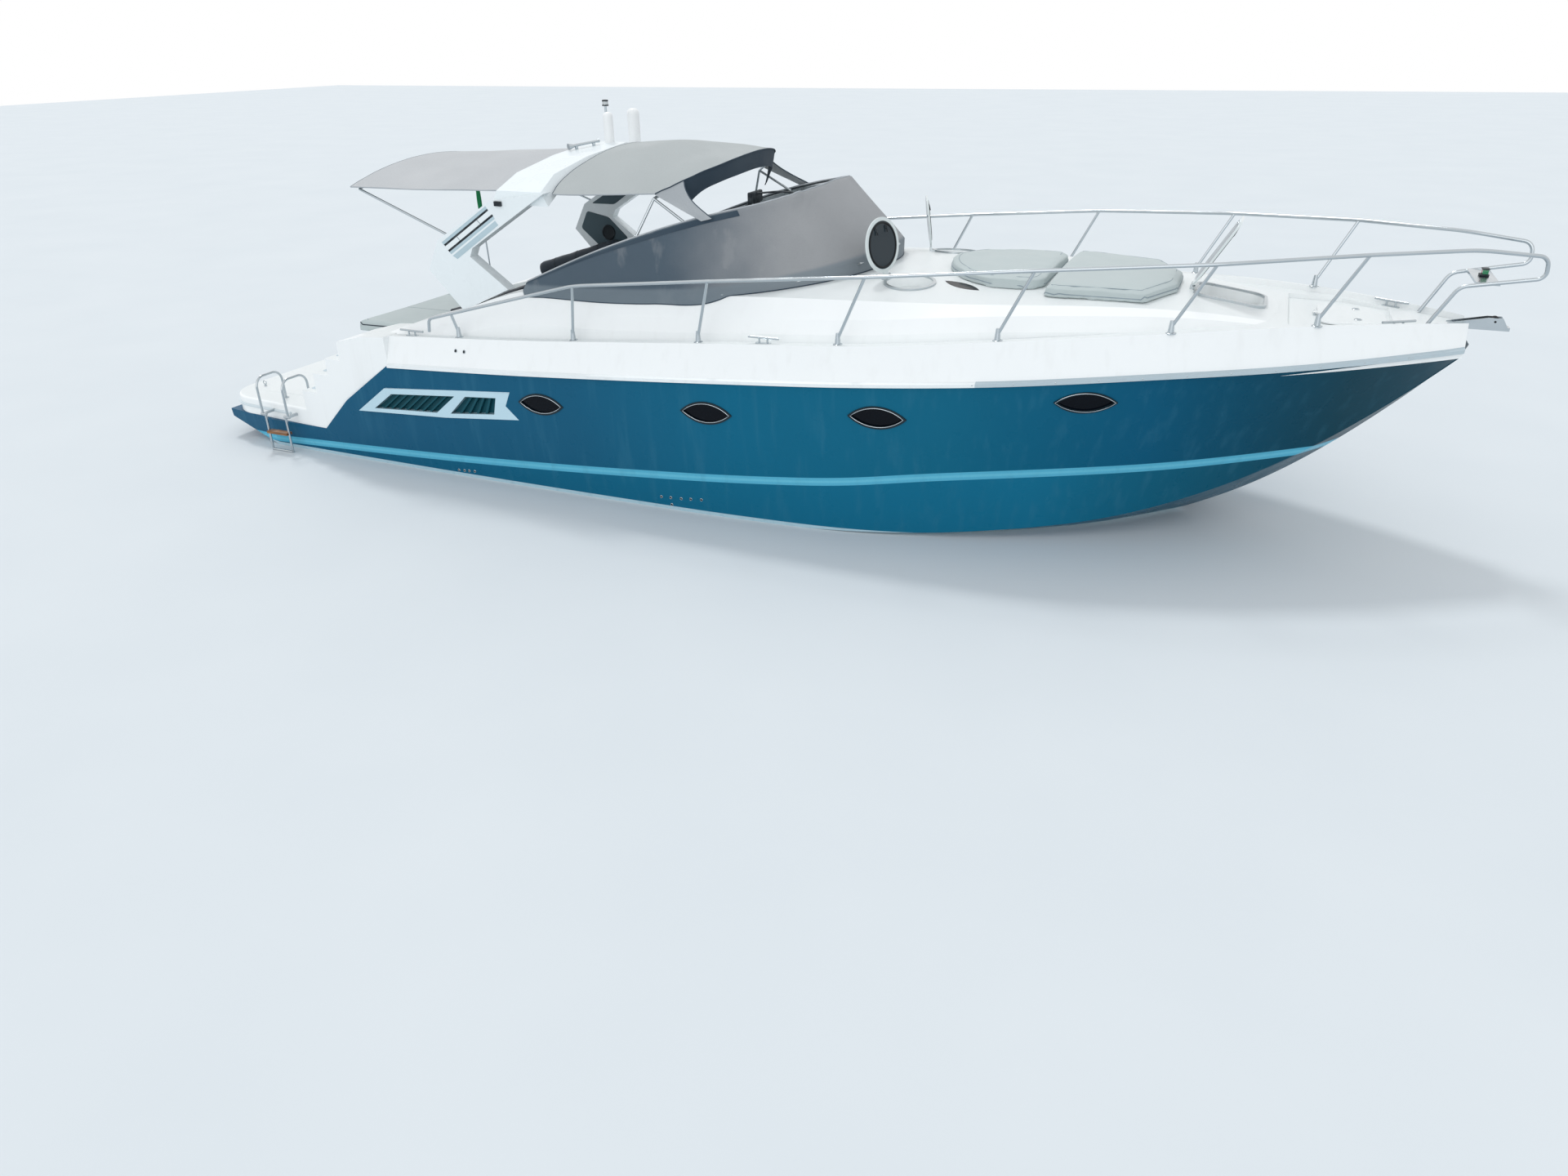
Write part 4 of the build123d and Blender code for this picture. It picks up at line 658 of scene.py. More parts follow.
@dataclass(frozen=True)
class Vents(Finish):
    """Pale vent moulding with dark slats and plate inside its two openings."""

    # Corners of each opening: x, z
    openings: tuple = (
        ((-3.64, 0.64), (-3.4, 0.81), (-2.62, 0.87), (-2.86, 0.68)),
        ((-2.69, 0.69), (-2.49, 0.88), (-2.13, 0.905), (-2.17, 0.74)),
    )
    lip: float = 0.004
    border: Colour = shade("bedae6")

    def paint(self, tree: Tree) -> Socket:
        """Lay the pale border round the openings.

        Args:
            tree: The material's tree.

        Returns:
            The colour.
        """
        x, _, z = tree.axes()
        inside = 0.0
        for corners in self.openings:
            mask = 1.0
            for (ax, az), (bx, bz) in zip(corners, corners[1:] + corners[:1]):
                length = hypot(bx - ax, bz - az)
                across = tree.math("MULTIPLY", tree.math("SUBTRACT", x, ax), (bz - az) / length)
                upward = tree.math("MULTIPLY", tree.math("SUBTRACT", z, az), (bx - ax) / length)
                reach = tree.math("SUBTRACT", across, upward)
                mask = tree.math("MULTIPLY", mask, tree.above(reach, 0.0, self.lip))
            inside = tree.math("ADD", inside, mask)
        return tree.blend(inside, self.border, self.colour)


@dataclass(frozen=True)
class RubRail(Finish):
    """Rub rail: white aft, metal-capped forward."""

    cap: Colour = shade("b6c5cc")
    cap_from: float = 2.47

    def paint(self, tree: Tree) -> Socket:
        """Change colour where the cap starts."""
        mask = tree.above(tree.axes()[0], self.cap_from, 0.004)
        return tree.blend(mask, self.colour, self.cap)


@dataclass(frozen=True)
class Planks(Finish):
    """Oiled wood with a long grain."""

    dark: Colour = shade("5c3c22")

    def paint(self, tree: Tree) -> Socket:
        """Draw the grain along X."""
        grain = tree.noise(60.0, 5.0, (0.08, 1.0, 1.0))
        return tree.blend(tree.step(grain, 0.35, 0.65), self.colour, self.dark)


HULL_PAINT = Topsides("hull_gelcoat", shade("1f6887"), 0.3, 0.08, specular=0.08, mottle=0.03, grain=60.0,
                      grain_depth=0.0004, film=0.0, runs=0.16, runs_colour=shade("468098"))
DECK_WHITE = Moulding("deck_gelcoat", shade("f3f6f6"), 0.34, 0.1, specular=0.2, coat=0.1, mottle=0.012,
                      film=0.0, grain_depth=0.0006, runs=0.05)
ARCH_WHITE = Moulding("arch_gelcoat", shade("e8eff1"), 0.28, 0.08, specular=0.25, coat=0.1, mottle=0.015,
                      film=0.0, grain_depth=0.0003, runs=0.06, treads=False)
DOME_WHITE = Finish("dome_plastic", shade("eef0f0"), 0.3, 0.06, coat=0.2, mottle=0.02)
RAIL_PAINT = RubRail("rub_rail", shade("ecf1f2"), 0.36, 0.1, specular=0.3, mottle=0.03, film=0.0,
                     grain_depth=0.0002, runs=0.1)
POLISHED = Finish("polished_steel", shade("bac2c7"), 0.2, 0.14, metallic=1.0, mottle=0.05, grain=240.0,
                  grain_depth=0.00004, film=0.06)
BRUSHED = Finish("brushed_metal", shade("b0b6ba"), 0.36, 0.14, metallic=1.0, mottle=0.06, wear=0.3,
                 wear_colour=shade("e1e4e6"))
FRAME_METAL = Finish("frame_metal", shade("bec6ca"), 0.3, 0.1, metallic=0.9, mottle=0.04, wear=0.25)
BRONZE = Finish("bronze", shade("9e8254"), 0.38, 0.16, metallic=1.0, mottle=0.12, mottle_scale=9.0, wear=0.5,
                wear_colour=shade("e2c484"), film=0.1)
TINTED = Finish("tinted_glass", shade("46545c"), 0.05, 0.03, transmission=0.85, mottle=0.02,
                grain_depth=0.00001, film=0.05)
DARK_PANE = Finish("dark_pane", shade("070c14"), 0.12, 0.05, specular=0.12, mottle=0.05, grain=40.0,
                   grain_depth=0.00004, film=0.02)
DARK_TRIM = Finish("dark_trim", shade("1a2228"), 0.46, 0.12, specular=0.2, mottle=0.08, wear=0.4,
                   wear_colour=shade("626a6e"), film=0.03)
SLATE_TRIM = Finish("slate_trim", shade("485a62"), 0.5, 0.12, specular=0.2, mottle=0.06, film=0.04)
ARCH_TRIM = Finish("arch_trim", shade("b6cad2"), 0.45, 0.12, specular=0.2, mottle=0.05, film=0.0)
VENT_PLASTIC = Vents("vent_plastic", shade("124c58"), 0.42, 0.1, specular=0.15, mottle=0.06, film=0.0)
RING_PLASTIC = Finish("ring_plastic", shade("1e2c34"), 0.42, 0.1, specular=0.2, mottle=0.06, film=0.0)
RUBBER = Finish("rubber", shade("1e2022"), 0.62, 0.16, specular=0.2, mottle=0.08, grain_depth=0.0003,
                film=0.02)
PALE_RUBBER = Finish("pale_rubber", shade("d6e0e4"), 0.55, 0.12, specular=0.25, mottle=0.05,
                     grain_depth=0.0003)
GRIP = Finish("wheel_grip", shade("282b2e"), 0.5, 0.12, specular=0.25, mottle=0.08, grain=1100.0,
              grain_depth=0.0003)
TEAK = Planks("teak", shade("9c6c40"), 0.5, 0.14, mottle=0.08, grain_depth=0.0004)
FLAG_CLOTH = Cloth("flag_cloth", shade("187648"), mottle=0.1, grain_depth=0.001, faded=shade("3c8c60"))
ENGINE_PAINT = Finish("engine_paint", shade("cdcfcc"), 0.4, 0.12, mottle=0.05, grain_depth=0.0003, wear=0.4,
                      wear_colour=shade("787876"))
AFT_CANVAS = Cloth("aft_canvas", shade("c1c4c6"), mottle=0.04, fade=0.2)
FORE_CANVAS = Cloth("fore_canvas", shade("b4baba"), fade=0.2)
CURTAIN_CLOTH = Cloth("curtain_cloth", shade("a6acb0"), fade=0.25)
SLATE_CLOTH = Cloth("slate_cloth", shade("3a4956"), mottle=0.08, faded=shade("4e5c67"), fade=0.6)
HEM_CLOTH = Cloth("hem_cloth", shade("a8afb4"), grain_depth=0.0008)
COVER = CoverCloth("cover_cloth", shade("a6a8aa"), 0.84, mottle_scale=4.0, grain_depth=0.002, threads=300.0,
                   faded=shade("b0b2b4"))
PAD_HIDE = Hide("pad_hide", shade("b7c2c2"), mottle=0.03, sheen=0.05)
# Piping and seams, darker than the pads so as to carry painted shadow lines along their edges and seams
SEAM_AND_SHADOW = Hide("pad_seam_and_shadow", shade("8a98a0"), mottle=0.04, grain_depth=0.0005)
SLATE_HIDE = Hide("slate_hide", shade("2c3640"), sheen=0.05)
STEP_PAD = Finish("step_pad", shade("c4d2d9"), 0.6, 0.12, specular=0.2, mottle=0.03, grain=260.0,
                  grain_depth=0.0008, film=0.0)
LAMP_GLASS = Finish("lamp_glass", shade("ecf0f0"), 0.1, 0.05, transmission=0.5, mottle=0.02, film=0.0)
GREEN_LAMP = Finish("green_lamp", shade("1e8254"), 0.15, 0.06, coat=0.5, mottle=0.05, film=0.0)
RED_LAMP = Finish("red_lamp", shade("a01e1e"), 0.15, 0.06, coat=0.5, mottle=0.05, film=0.0)
DIAL_FACE = Finish("dial_face", shade("e2e4e2"), 0.4, 0.06, mottle=0.02, film=0.0)
DOOR_ACRYLIC = Finish("door_acrylic", shade("242c32"), 0.12, 0.05, coat=0.3, mottle=0.05, grain_depth=0.00003)


# Meshes

# Share of an oblong that a cloth cut from it has at least
LEAST_CUT = 0.3
# Points of a CAD mesh closer than this are one
WELD = 1e-4
# A ray from above starts at this height
OVERHEAD = 4.0


def spot_on(points: Line, share: float) -> Vector:
    """Give a point on a smooth line through others.

    Args:
        points: The points that it goes through.
        share: How far along, in whole points.

    Returns:
        The point.
    """
    last = len(points) - 1
    index = min(int(share), last - 1)
    t = share - index
    before, here, there, after = (points[min(max(index + shift, 0), last)] for shift in (-1, 0, 1, 2))
    return 0.5 * (
        2 * here + (there - before) * t + (2 * before - 5 * here + 4 * there - after) * t**2
        + (3 * here - before - 3 * there + after) * t**3
    )


def smooth_line(points: Line, parts: int) -> Line:
    """Give points on a smooth line through others."""
    count = (len(points) - 1) * parts
    return [spot_on(points, index / parts) for index in range(count + 1)]


def circle(centre: Vector, first: Vector, second: Vector, sides: int) -> Line:
    """Give the points of a ring, by the two radii that span it."""
    turns = (tau * k / sides for k in range(sides))
    return [centre + cos(turn) * first + sin(turn) * second for turn in turns]


def skinned(rings: Grid, ends: Ends = Ends.CAPPED) -> Mesh:
    """Join rings of points by faces.

    Args:
        rings: The rings in order, each with as many points.
        ends: Capped, or closed on itself.

    Returns:
        The mesh.
    """
    count, sides = len(rings), len(rings[0])
    faces = []
    for row in range(count if ends is Ends.CLOSED else count - 1):
        here, ahead = row * sides, (row + 1) % count * sides
        for k in range(sides):
            beside = (k + 1) % sides
            faces.append((here + k, here + beside, ahead + beside, ahead + k))
    if ends is Ends.CAPPED:
        last = (count - 1) * sides
        faces += [tuple(reversed(range(sides))), tuple(range(last, last + sides))]
    return [point for ring in rings for point in ring], faces


def tube(points: Line, radius: float, sides: int = 8, ends: Ends = Ends.CAPPED) -> Mesh:
    """Sweep a round section along a line.

    Args:
        points: The line.
        radius: The section's radius.
        sides: The section's corners.
        ends: Capped, or closed on itself.

    Returns:
        The mesh.
    """
    closed = ends is Ends.CLOSED
    rings = []
    normal = None
    for index, point in enumerate(points):
        before = points[index - 1] if index or closed else point
        after = points[(index + 1) % len(points)] if index + 1 < len(points) or closed else point
        along = (after - before).normalized()
        if normal is None:
            normal = along.orthogonal().normalized()
        normal = (normal - along * normal.dot(along)).normalized()
        rings.append(circle(point, radius * normal, radius * along.cross(normal), sides))
    return skinned(rings, ends)


def revolve(profile: Profile, foot: Vector, axis: Vector, sides: int = 20) -> Mesh:
    """Turn a profile about an axis.

    Args:
        profile: Radius and height of each point, from the foot.
        foot: Where the axis starts.
        axis: Its direction.
        sides: Corners round it.

    Returns:
        The mesh, closed at both ends.
    """
    axis = axis.normalized()
    first = axis.orthogonal().normalized()
    second = axis.cross(first)
    return skinned([circle(foot + axis * up, size * first, size * second, sides) for size, up in profile])


def prism(outline: Line, depth: Vector, bevel: float = 0.0) -> Mesh:
    """Extrude an outline, with its edges eased.

    Args:
        outline: Corners in order.
        depth: How far and which way.
        bevel: Width of the eased edges.

    Returns:
        The mesh.
    """
    bm = bmesh.new()
    low, high = ([bm.verts.new(point + shift) for point in outline] for shift in (Vector(), depth))
    bm.faces.new(low)
    bm.faces.new(high[::-1])
    for index in range(len(outline)):
        ahead = (index + 1) % len(outline)
        bm.faces.new((low[index], high[index], high[ahead], low[ahead]))
    bmesh.ops.recalc_face_normals(bm, faces=bm.faces)
    if bevel:
        bmesh.ops.bevel(bm, geom=list(bm.edges), offset=bevel, segments=2, profile=0.6, affect="EDGES")
    bm.verts.index_update()
    points = [vert.co.copy() for vert in bm.verts]
    faces = [tuple(vert.index for vert in face.verts) for face in bm.faces]
    bm.free()
    return points, faces


def oblong(low: tuple, high: tuple) -> Outline:
    """Give an oblong's corners in plan, anticlockwise."""
    return [(low[0], low[1]), (high[0], low[1]), (high[0], high[1]), (low[0], high[1])]


def block(low: tuple, high: tuple, bevel: float = 0.004) -> Mesh:
    """Give a block with eased edges."""
    foot = [Vector((x, y, low[2])) for x, y in oblong(low, high)]
    return prism(foot, UP * (high[2] - low[2]), bevel)


def centred(spot: tuple, half: tuple, bevel: float = 0.004) -> Mesh:
    """Give a block by its middle and its half sizes."""
    middle, reach = Vector(spot), Vector(half)
    return block(middle - reach, middle + reach, bevel)


def cloth(rows: Grid, thick: float) -> Mesh:
    """Give a grid of points a second side and edges.

    Args:
        rows: The grid's outer points.
        thick: How far in the second side lies.

    Returns:
        The closed mesh.
    """
    high, wide = len(rows), len(rows[0])
    outer = [point for row in rows for point in row]
    inner = []
    for i in range(high):
        for j in range(wide):
            down = rows[min(i + 1, high - 1)][j] - rows[max(i - 1, 0)][j]
            over = rows[i][min(j + 1, wide - 1)] - rows[i][max(j - 1, 0)]
            inner.append(rows[i][j] - down.cross(over).normalized() * thick)
    total = high * wide
    faces = []
    for i in range(high - 1):
        for j in range(wide - 1):
            a, b, c, d = i * wide + j, (i + 1) * wide + j, (i + 1) * wide + j + 1, i * wide + j + 1
            faces.append((a, b, c, d))
            faces.append((a + total, d + total, c + total, b + total))
    rim = list(range(wide)) + [i * wide + wide - 1 for i in range(1, high)]
    rim += [(high - 1) * wide + j for j in range(wide - 2, -1, -1)]
    rim += [i * wide for i in range(high - 2, 0, -1)]
    for here, there in zip(rim, rim[1:] + rim[:1]):
        faces.append((here, there, there + total, here + total))
    return outer + inner, faces


def length_of(points: Line) -> float:
    """Measure a line of points."""
    return sum((b - a).length for a, b in zip(points, points[1:]))


def spans(rows: Grid) -> tuple[float, float]:
    """Give the greatest length of a grid's rows, and of its columns."""
    columns = [[row[index] for row in rows] for index in range(len(rows[0]))]
    return max(length_of(row) for row in rows), max(length_of(column) for column in columns)


def cut_area(rows: Grid, flat: tuple[float, float]) -> float:
    """Measure a cloth's own area, which is LEAST_CUT of the oblong that it is cut from, or more.

    Args:
        rows: Its grid.
        flat: The oblong's sides.

    Returns:
        The area.
    """
    whole = flat[0] * flat[1]
    cells = (cell for upper, lower in zip(rows, rows[1:]) for cell in zip(upper, upper[1:], lower[1:], lower))
    area = sum(0.5 * ((b - a).cross(c - a).length + (c - a).cross(d - a).length) for a, b, c, d in cells)
    return max(LEAST_CUT * whole, min(area, whole))


def joined(parts: list[Mesh]) -> Mesh:
    """Put several meshes into one.

    Args:
        parts: The meshes.

    Returns:
        The one mesh.
    """
    verts: list[Vector] = []
    faces: list[tuple[int, ...]] = []
    for points, loops in parts:
        start = len(verts)
        verts += points
        faces += [tuple(index + start for index in loop) for loop in loops]
    return verts, faces


def mirrored(points: Line) -> Line:
    """Give points' places on the other side of the centreline."""
    return [Vector((p.x, -p.y, p.z)) for p in points]


def both_sides(parts: list[Mesh]) -> Mesh:
    """Put meshes and their mirrors across the centreline into one."""
    points, loops = joined(parts)
    return joined([(points, loops), (mirrored(points), [loop[::-1] for loop in loops])])


def new_mesh(name: str, mesh: Mesh) -> bpy.types.Mesh:
    """Make mesh data.

    Args:
        name: Its name.
        mesh: Its points and faces.

    Returns:
        The data.
    """
    data = bpy.data.meshes.new(name)
    data.from_pydata([tuple(point) for point in mesh[0]], [], mesh[1])
    return data


def place_in_scene(name: str, data: bpy.types.ID) -> bpy.types.Object:
    """Put an object in the scene.

    Args:
        name: Its name.
        data: Its mesh, camera or light.

    Returns:
        The object.
    """
    made = bpy.data.objects.new(name, data)
    bpy.context.scene.collection.objects.link(made)
    return made


def piece(name: str, mesh: Mesh, finish: Finish, body: str = ROOT,
          crease: float = 38.0) -> bpy.types.Object:
    """Make a piece that rides on a body.

    Args:
        name: Its name.
        mesh: Its points and faces.
        finish: Its finish.
        body: The body that it rides on.
        crease: Angle past which an edge stays sharp, in degrees.

    Returns:
        The piece.
    """
    data = new_mesh(name, mesh)
    data.validate()
    data.polygons.foreach_set("use_smooth", [True] * len(data.polygons))
    data.set_sharp_from_angle(angle=radians(crease))
    data.materials.append(finish.material())
    made = place_in_scene(name, data)
    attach(made, body)
    log.info("%s: %d faces", name, len(data.polygons))
    return made


def dress(finish: Finish, *nodes: str) -> None:
    """Give CAD nodes their finish.

    Args:
        finish: The finish.
        *nodes: The nodes' names.
    """
    for node in nodes:
        materials = frame["nodes"][node].data.materials
        materials.clear()
        materials.append(finish.material())


def solids_of(node: str) -> list[Mesh]:
    """Split a CAD node into its solids, from aft to fore.

    Args:
        node: The node's name.

    Returns:
        One mesh for each solid.
    """
    bm = bmesh.new()
    bm.from_mesh(frame["nodes"][node].data)
    bmesh.ops.remove_doubles(bm, verts=bm.verts, dist=WELD)
    left = dict.fromkeys(bm.verts)
    found = []
    while left:
        island = [left.popitem()[0]]
        for vert in island:
            for edge in vert.link_edges:
                other = edge.other_vert(vert)
                if other in left:
                    del left[other]
                    island.append(other)
        order = {vert: index for index, vert in enumerate(island)}
        faces = dict.fromkeys(face for vert in island for face in vert.link_faces)
        found.append(([v.co.copy() for v in island], [tuple(order[v] for v in face.verts) for face in faces]))
    bm.free()
    return sorted(found, key=lambda mesh: [round(min(p[axis] for p in mesh[0]), 3) for axis in (0, 2, 1)])


class Probe:
    """Ray casts on one or more meshes."""

    def __init__(self, *data: bpy.types.Mesh) -> None:
        """Build the search tree of what the rays may meet."""
        meshes = [([v.co for v in each.vertices], [p.vertices[:] for p in each.polygons]) for each in data]
        self.tree = BVHTree.FromPolygons(*joined(meshes))

    @classmethod
    def of(cls, *nodes: str) -> "Probe":
        """Probe CAD nodes by name."""
        return cls(*(frame["nodes"][name].data for name in nodes))

    def cast(self, start: Vector, way: Vector) -> tuple[Vector, Vector] | None:
        """Find where a ray first meets a surface."""
        point, normal, _, _ = self.tree.ray_cast(start, way.normalized())
        return None if point is None else (point, normal)

    def down(self, x: float, y: float, top: float = OVERHEAD) -> Vector:
        """Give the highest point of the surface at a place."""
        found = self.cast(Vector((x, y, top)), -UP)
        return found[0] if found else Vector((x, y, top))

    def inboard(self, x: float, z: float, side: Side = Side.STARBOARD) -> tuple[Vector, Vector] | None:
        """Find the outermost surface at a height on one side."""
        return self.cast(Vector((x, side.value * 3.0, z)), -PORT * side.value)


def eased(before: Vector, here: Vector, after: Vector, parts: int) -> Outline:
    """Give points on the curve that rounds a corner, from the point before it to the one after."""
    shares = [k / parts for k in range(parts + 1)]
    return [tuple((1 - t) ** 2 * before + 2 * t * (1 - t) * here + t**2 * after) for t in shares]


def rounded(corners: Outline, radius: float, parts: int = 6) -> Outline:
    """Round the corners of an outline.

    Args:
        corners: The outline.
        radius: How far each corner is cut back.
        parts: Parts in each round.

    Returns:
        The rounded outline.
    """
    made = []
    for index, corner in enumerate(corners):
        here = Vector(corner)
        before = Vector(corners[index - 1])
        after = Vector(corners[(index + 1) % len(corners)])
        start, end = (here + (spot - here).normalized() * radius for spot in (before, after))
        made += eased(start, here, end, parts)
    return made


def pulled_in(outline: Outline, inset: float) -> Outline:
    """Move an outline in by a fixed width.

    Args:
        outline: Points in order, anticlockwise.
        inset: The width.

    Returns:
        The narrower outline.
    """
    made = []
    for index, spot in enumerate(outline):
        before = Vector(outline[index - 1])
        after = Vector(outline[(index + 1) % len(outline)])
        along = (after - before).normalized()
        made.append((spot[0] - along.y * inset, spot[1] + along.x * inset))
    return made


# Soft pieces


@dataclass
class Pad:
    """One stuffed pad that is inflated with the others."""

    name: str
    mesh: Mesh
    finish: Finish
    slot: str
    node: str
    voxel: float = 0.018
    cap: float = 0.014
    fill: float = 0.7
    rest: Line = field(default_factory=list)
    made: bpy.types.Object | None = None


class Upholstery:
    """Turns plain pads into stuffed ones, all in one simulation."""

    pressure: float = 4.0
    frames: int = 20
    quality: int = 4
    shrink: float = 0.006
    seat_normal: float = -0.5
    smooth_rounds: int = 3
    smooth_factor: float = 0.4

    def __init__(self) -> None:
        """Start with no pads."""
        self.pads: list[Pad] = []

    def _blank(self, pad: Pad) -> bpy.types.Object:
        """Make a pad's even mesh, a little smaller than it will be.

        Args:
            pad: The pad.

        Returns:
            The object.
        """
        made = place_in_scene(pad.name, new_mesh(pad.name, pad.mesh))
        remesh = made.modifiers.new("even", "REMESH")
        remesh.mode = "VOXEL"
        remesh.voxel_size = pad.voxel
        self._settle(made)
        low = min(v.co.z for v in made.data.vertices)
        seat = made.vertex_groups.new(name="seat")
        for vert in made.data.vertices:
            if vert.normal.z < self.seat_normal:
                seat.add([vert.index], 1.0, "REPLACE")
            else:
                vert.co -= vert.normal * self.shrink
                vert.co.z = max(vert.co.z, low)
        return made

    @staticmethod
    def _settle(obj: bpy.types.Object) -> None:
        """Turn a piece's modifiers into its own mesh.

        Args:
            obj: The piece.
        """
        bpy.context.view_layer.update()
        evaluated = obj.evaluated_get(bpy.context.evaluated_depsgraph_get())
        data = bpy.data.meshes.new_from_object(evaluated)
        obj.modifiers.clear()
        obj.data = data

    def inflate(self) -> None:
        """Simulate every pad, cap how far it swells, and finish its mesh."""
        scene = bpy.context.scene
        for pad in self.pads:
            pad.made = self._blank(pad)
            pad.rest = [v.co.copy() for v in pad.made.data.vertices]
            modifier = pad.made.modifiers.new("stuffing", "CLOTH")
            settings = modifier.settings
            settings.use_pressure = True
            settings.uniform_pressure_force = self.pressure
            settings.effector_weights.gravity = 0.0
            settings.vertex_group_mass = "seat"
            settings.quality = self.quality
            modifier.point_cache.frame_end = self.frames
        for number in range(1, self.frames + 1):
            scene.frame_set(number)
        for pad in self.pads:
            self._finish(pad)
        scene.frame_set(1)

    def _finish(self, pad: Pad) -> None:
        """Keep the swollen shape within its cap and smooth it once.

        Args:
            pad: The pad.
        """
        made = pad.made
        self._settle(made)
        for vert, rest in zip(made.data.vertices, pad.rest):
            move = vert.co - rest
            if move.length > pad.cap:
                vert.co = rest + move.normalized() * pad.cap
        made.vertex_groups.clear()
        smooth = made.modifiers.new("smooth", "SMOOTH")
        smooth.iterations = self.smooth_rounds
        smooth.factor = self.smooth_factor
        made.modifiers.new("rounder", "SUBSURF").levels = 1
        self._settle(made)
        made.data.polygons.foreach_set("use_smooth", [True] * len(made.data.polygons))
        made.data.materials.clear()
        made.data.materials.append(pad.finish.material())
        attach(made, ROOT)
        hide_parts(pad.node)
        log.info("%s: %d faces", pad.name, len(made.data.polygons))


def piping(name: str, outline: Outline, pad: Pad, radius: float, finish: Finish,
           sink: float = 0.3) -> bpy.types.Object:
    """Lay a sewn bead on a pad's top.

    Args:
        name: The bead's name.
        outline: Its route in plan, closed.
        pad: The pad that it lies on.
        radius: Its radius.
        finish: Its finish.
        sink: Share of the radius that it is sunk.

    Returns:
        The bead.
    """
    probe = Probe(pad.made.data)
    line = []
    for x, y in outline:
        found = probe.cast(Vector((x, y, OVERHEAD)), -UP)
        if found:
            line.append(found[0] - UP * radius * sink)
    return piece(name, tube(line, radius, ends=Ends.CLOSED), finish)


def arc_line(start: Vector, middle: Vector, end: Vector, parts: int) -> Line:
    """Give points on the arc through three points.

    Args:
        start: Its start.
        middle: A point on it.
        end: Its end.
        parts: Parts of the arc.

    Returns:
        The points.
    """
    half = (end - start) / 2
    rise = middle - (start + end) / 2
    height = rise.length
    radius = (half.length_squared + height * height) / (2 * height)
    centre = middle - rise.normalized() * radius
    reach = asin(min(1.0, half.length / radius))
    across, out = half.normalized(), rise.normalized()
    return [
        centre + radius * (sin(reach * t) * across + cos(reach * t) * out)
        for t in (2 * k / parts - 1 for k in range(parts + 1))
    ]


# Sub-assemblies


@dataclass
class HullSides:
    """Topsides with their rail, lights, vents and skin fittings."""

    # Skin fittings near the waterline: x, z
    outlets: tuple = (
        (-2.77, 0.06), (-2.7, 0.065), (-2.64, 0.07), (-2.57, 0.075),
        (-0.43, 0.12), (-0.33, 0.125), (-0.22, 0.13), (-0.12, 0.14), (-0.01, 0.15), (-0.33, 0.05),
    )
    outlet_r: float = 0.015
    # Round fittings on the bulwark: x, z
    breathers: tuple = ((-2.56, 1.31), (-2.46, 1.31))
    breather_r: float = 0.019
    # Flange and bore of a fitting: share of its radius, height
    flange: tuple = ((1.0, -0.004), (1.0, 0.002), (0.84, 0.005), (0.7, 0.004), (0.68, -0.003))
    bore: tuple = ((0.66, -0.002), (0.66, 0.0045), (0.2, 0.0046))
    lights: tuple = ((-1.61, 0.905), (0.12, 1.02), (1.67, 1.14), (3.29, 1.36))
    light_size: tuple = (0.446, 0.169)
    bead_r: float = 0.0035
    bead_out: float = 0.002
    # Screw head: radius, height
    screw: tuple = ((0.006, -0.002), (0.006, 0.001), (0.003, 0.003), (0.001, 0.0032))
    screw_step: float = 0.31
    screw_up: float = 0.014
    # Where screws are set along the rail, and the heights that it lies between
    screw_span: tuple = (2.45, 5.8)
    rail_foot: float = 1.2
    rail_step: float = 0.005
    rail_steps: int = 120
    rail_flat: float = 1e-5

    def build(self) -> None:
        """Dress the hull's nodes and add its small fittings."""
        dress(HULL_PAINT, "hull")
        dress(RAIL_PAINT, "rub_rail")
        dress(RING_PLASTIC, "porthole_frames")
        dress(DARK_PANE, "porthole_glass")
        dress(VENT_PLASTIC, "engine_vents")
        self._outlets()
        self._light_rims()
        self._rail_screws()

    def _outlets(self) -> None:
        """Set the flanged outlets and the bulwark's breathers, each round a dark bore."""
        probe = Probe.of("hull", "deck")
        rims, bores = [], []
        for spots, size in ((self.outlets, self.outlet_r), (self.breathers, self.breather_r)):
            for x, z in spots:
                point, normal = probe.inboard(x, z)
                for parts, profile, sides in ((rims, self.flange, 18), (bores, self.bore, 14)):
                    scaled = [(share * size, height) for share, height in profile]
                    parts.append(revolve(scaled, point, normal, sides))
        piece("skin_outlets", both_sides(rims), POLISHED)
        piece("skin_outlet_bores", both_sides(bores), DARK_TRIM)

    def _light_rims(self) -> None:
        """Run a bright bead inside each porthole's frame."""
        probe = Probe.of("porthole_frames", "porthole_glass")
        half, rise = FORWARD * self.light_size[0] / 2, UP * self.light_size[1] / 2
        parts = []
        for x, z in self.lights:
            middle = Vector((x, 0, z))
            low = arc_line(middle - half, middle - rise, middle + half, 14)
            high = arc_line(middle + half, middle + rise, middle - half, 14)
            line = []
            for spot in low + high[1:-1]:
                found = probe.inboard(spot.x, spot.z)
                if found:
                    line.append(found[0] - PORT * self.bead_out)
            parts.append(tube(line, self.bead_r, ends=Ends.CLOSED))
        piece("porthole_beads", both_sides(parts), POLISHED)

    def _rail_screws(self) -> None:
        """Set screw heads along the metal part of the rub rail, each where it stands out most."""
        probe = Probe.of("rub_rail")
        parts = []
        x, end = self.screw_span
        while x < end:
            best = None
            for step in range(self.rail_steps):
                found = probe.inboard(x, self.rail_foot + self.rail_step * step)
                if found and (best is None or found[0].y < best[0].y - self.rail_flat):
                    best = found
            if best:
                parts.append(revolve(self.screw, best[0] + UP * self.screw_up, best[1], 10))
            x += self.screw_step
        piece("rail_screws", both_sides(parts), POLISHED)


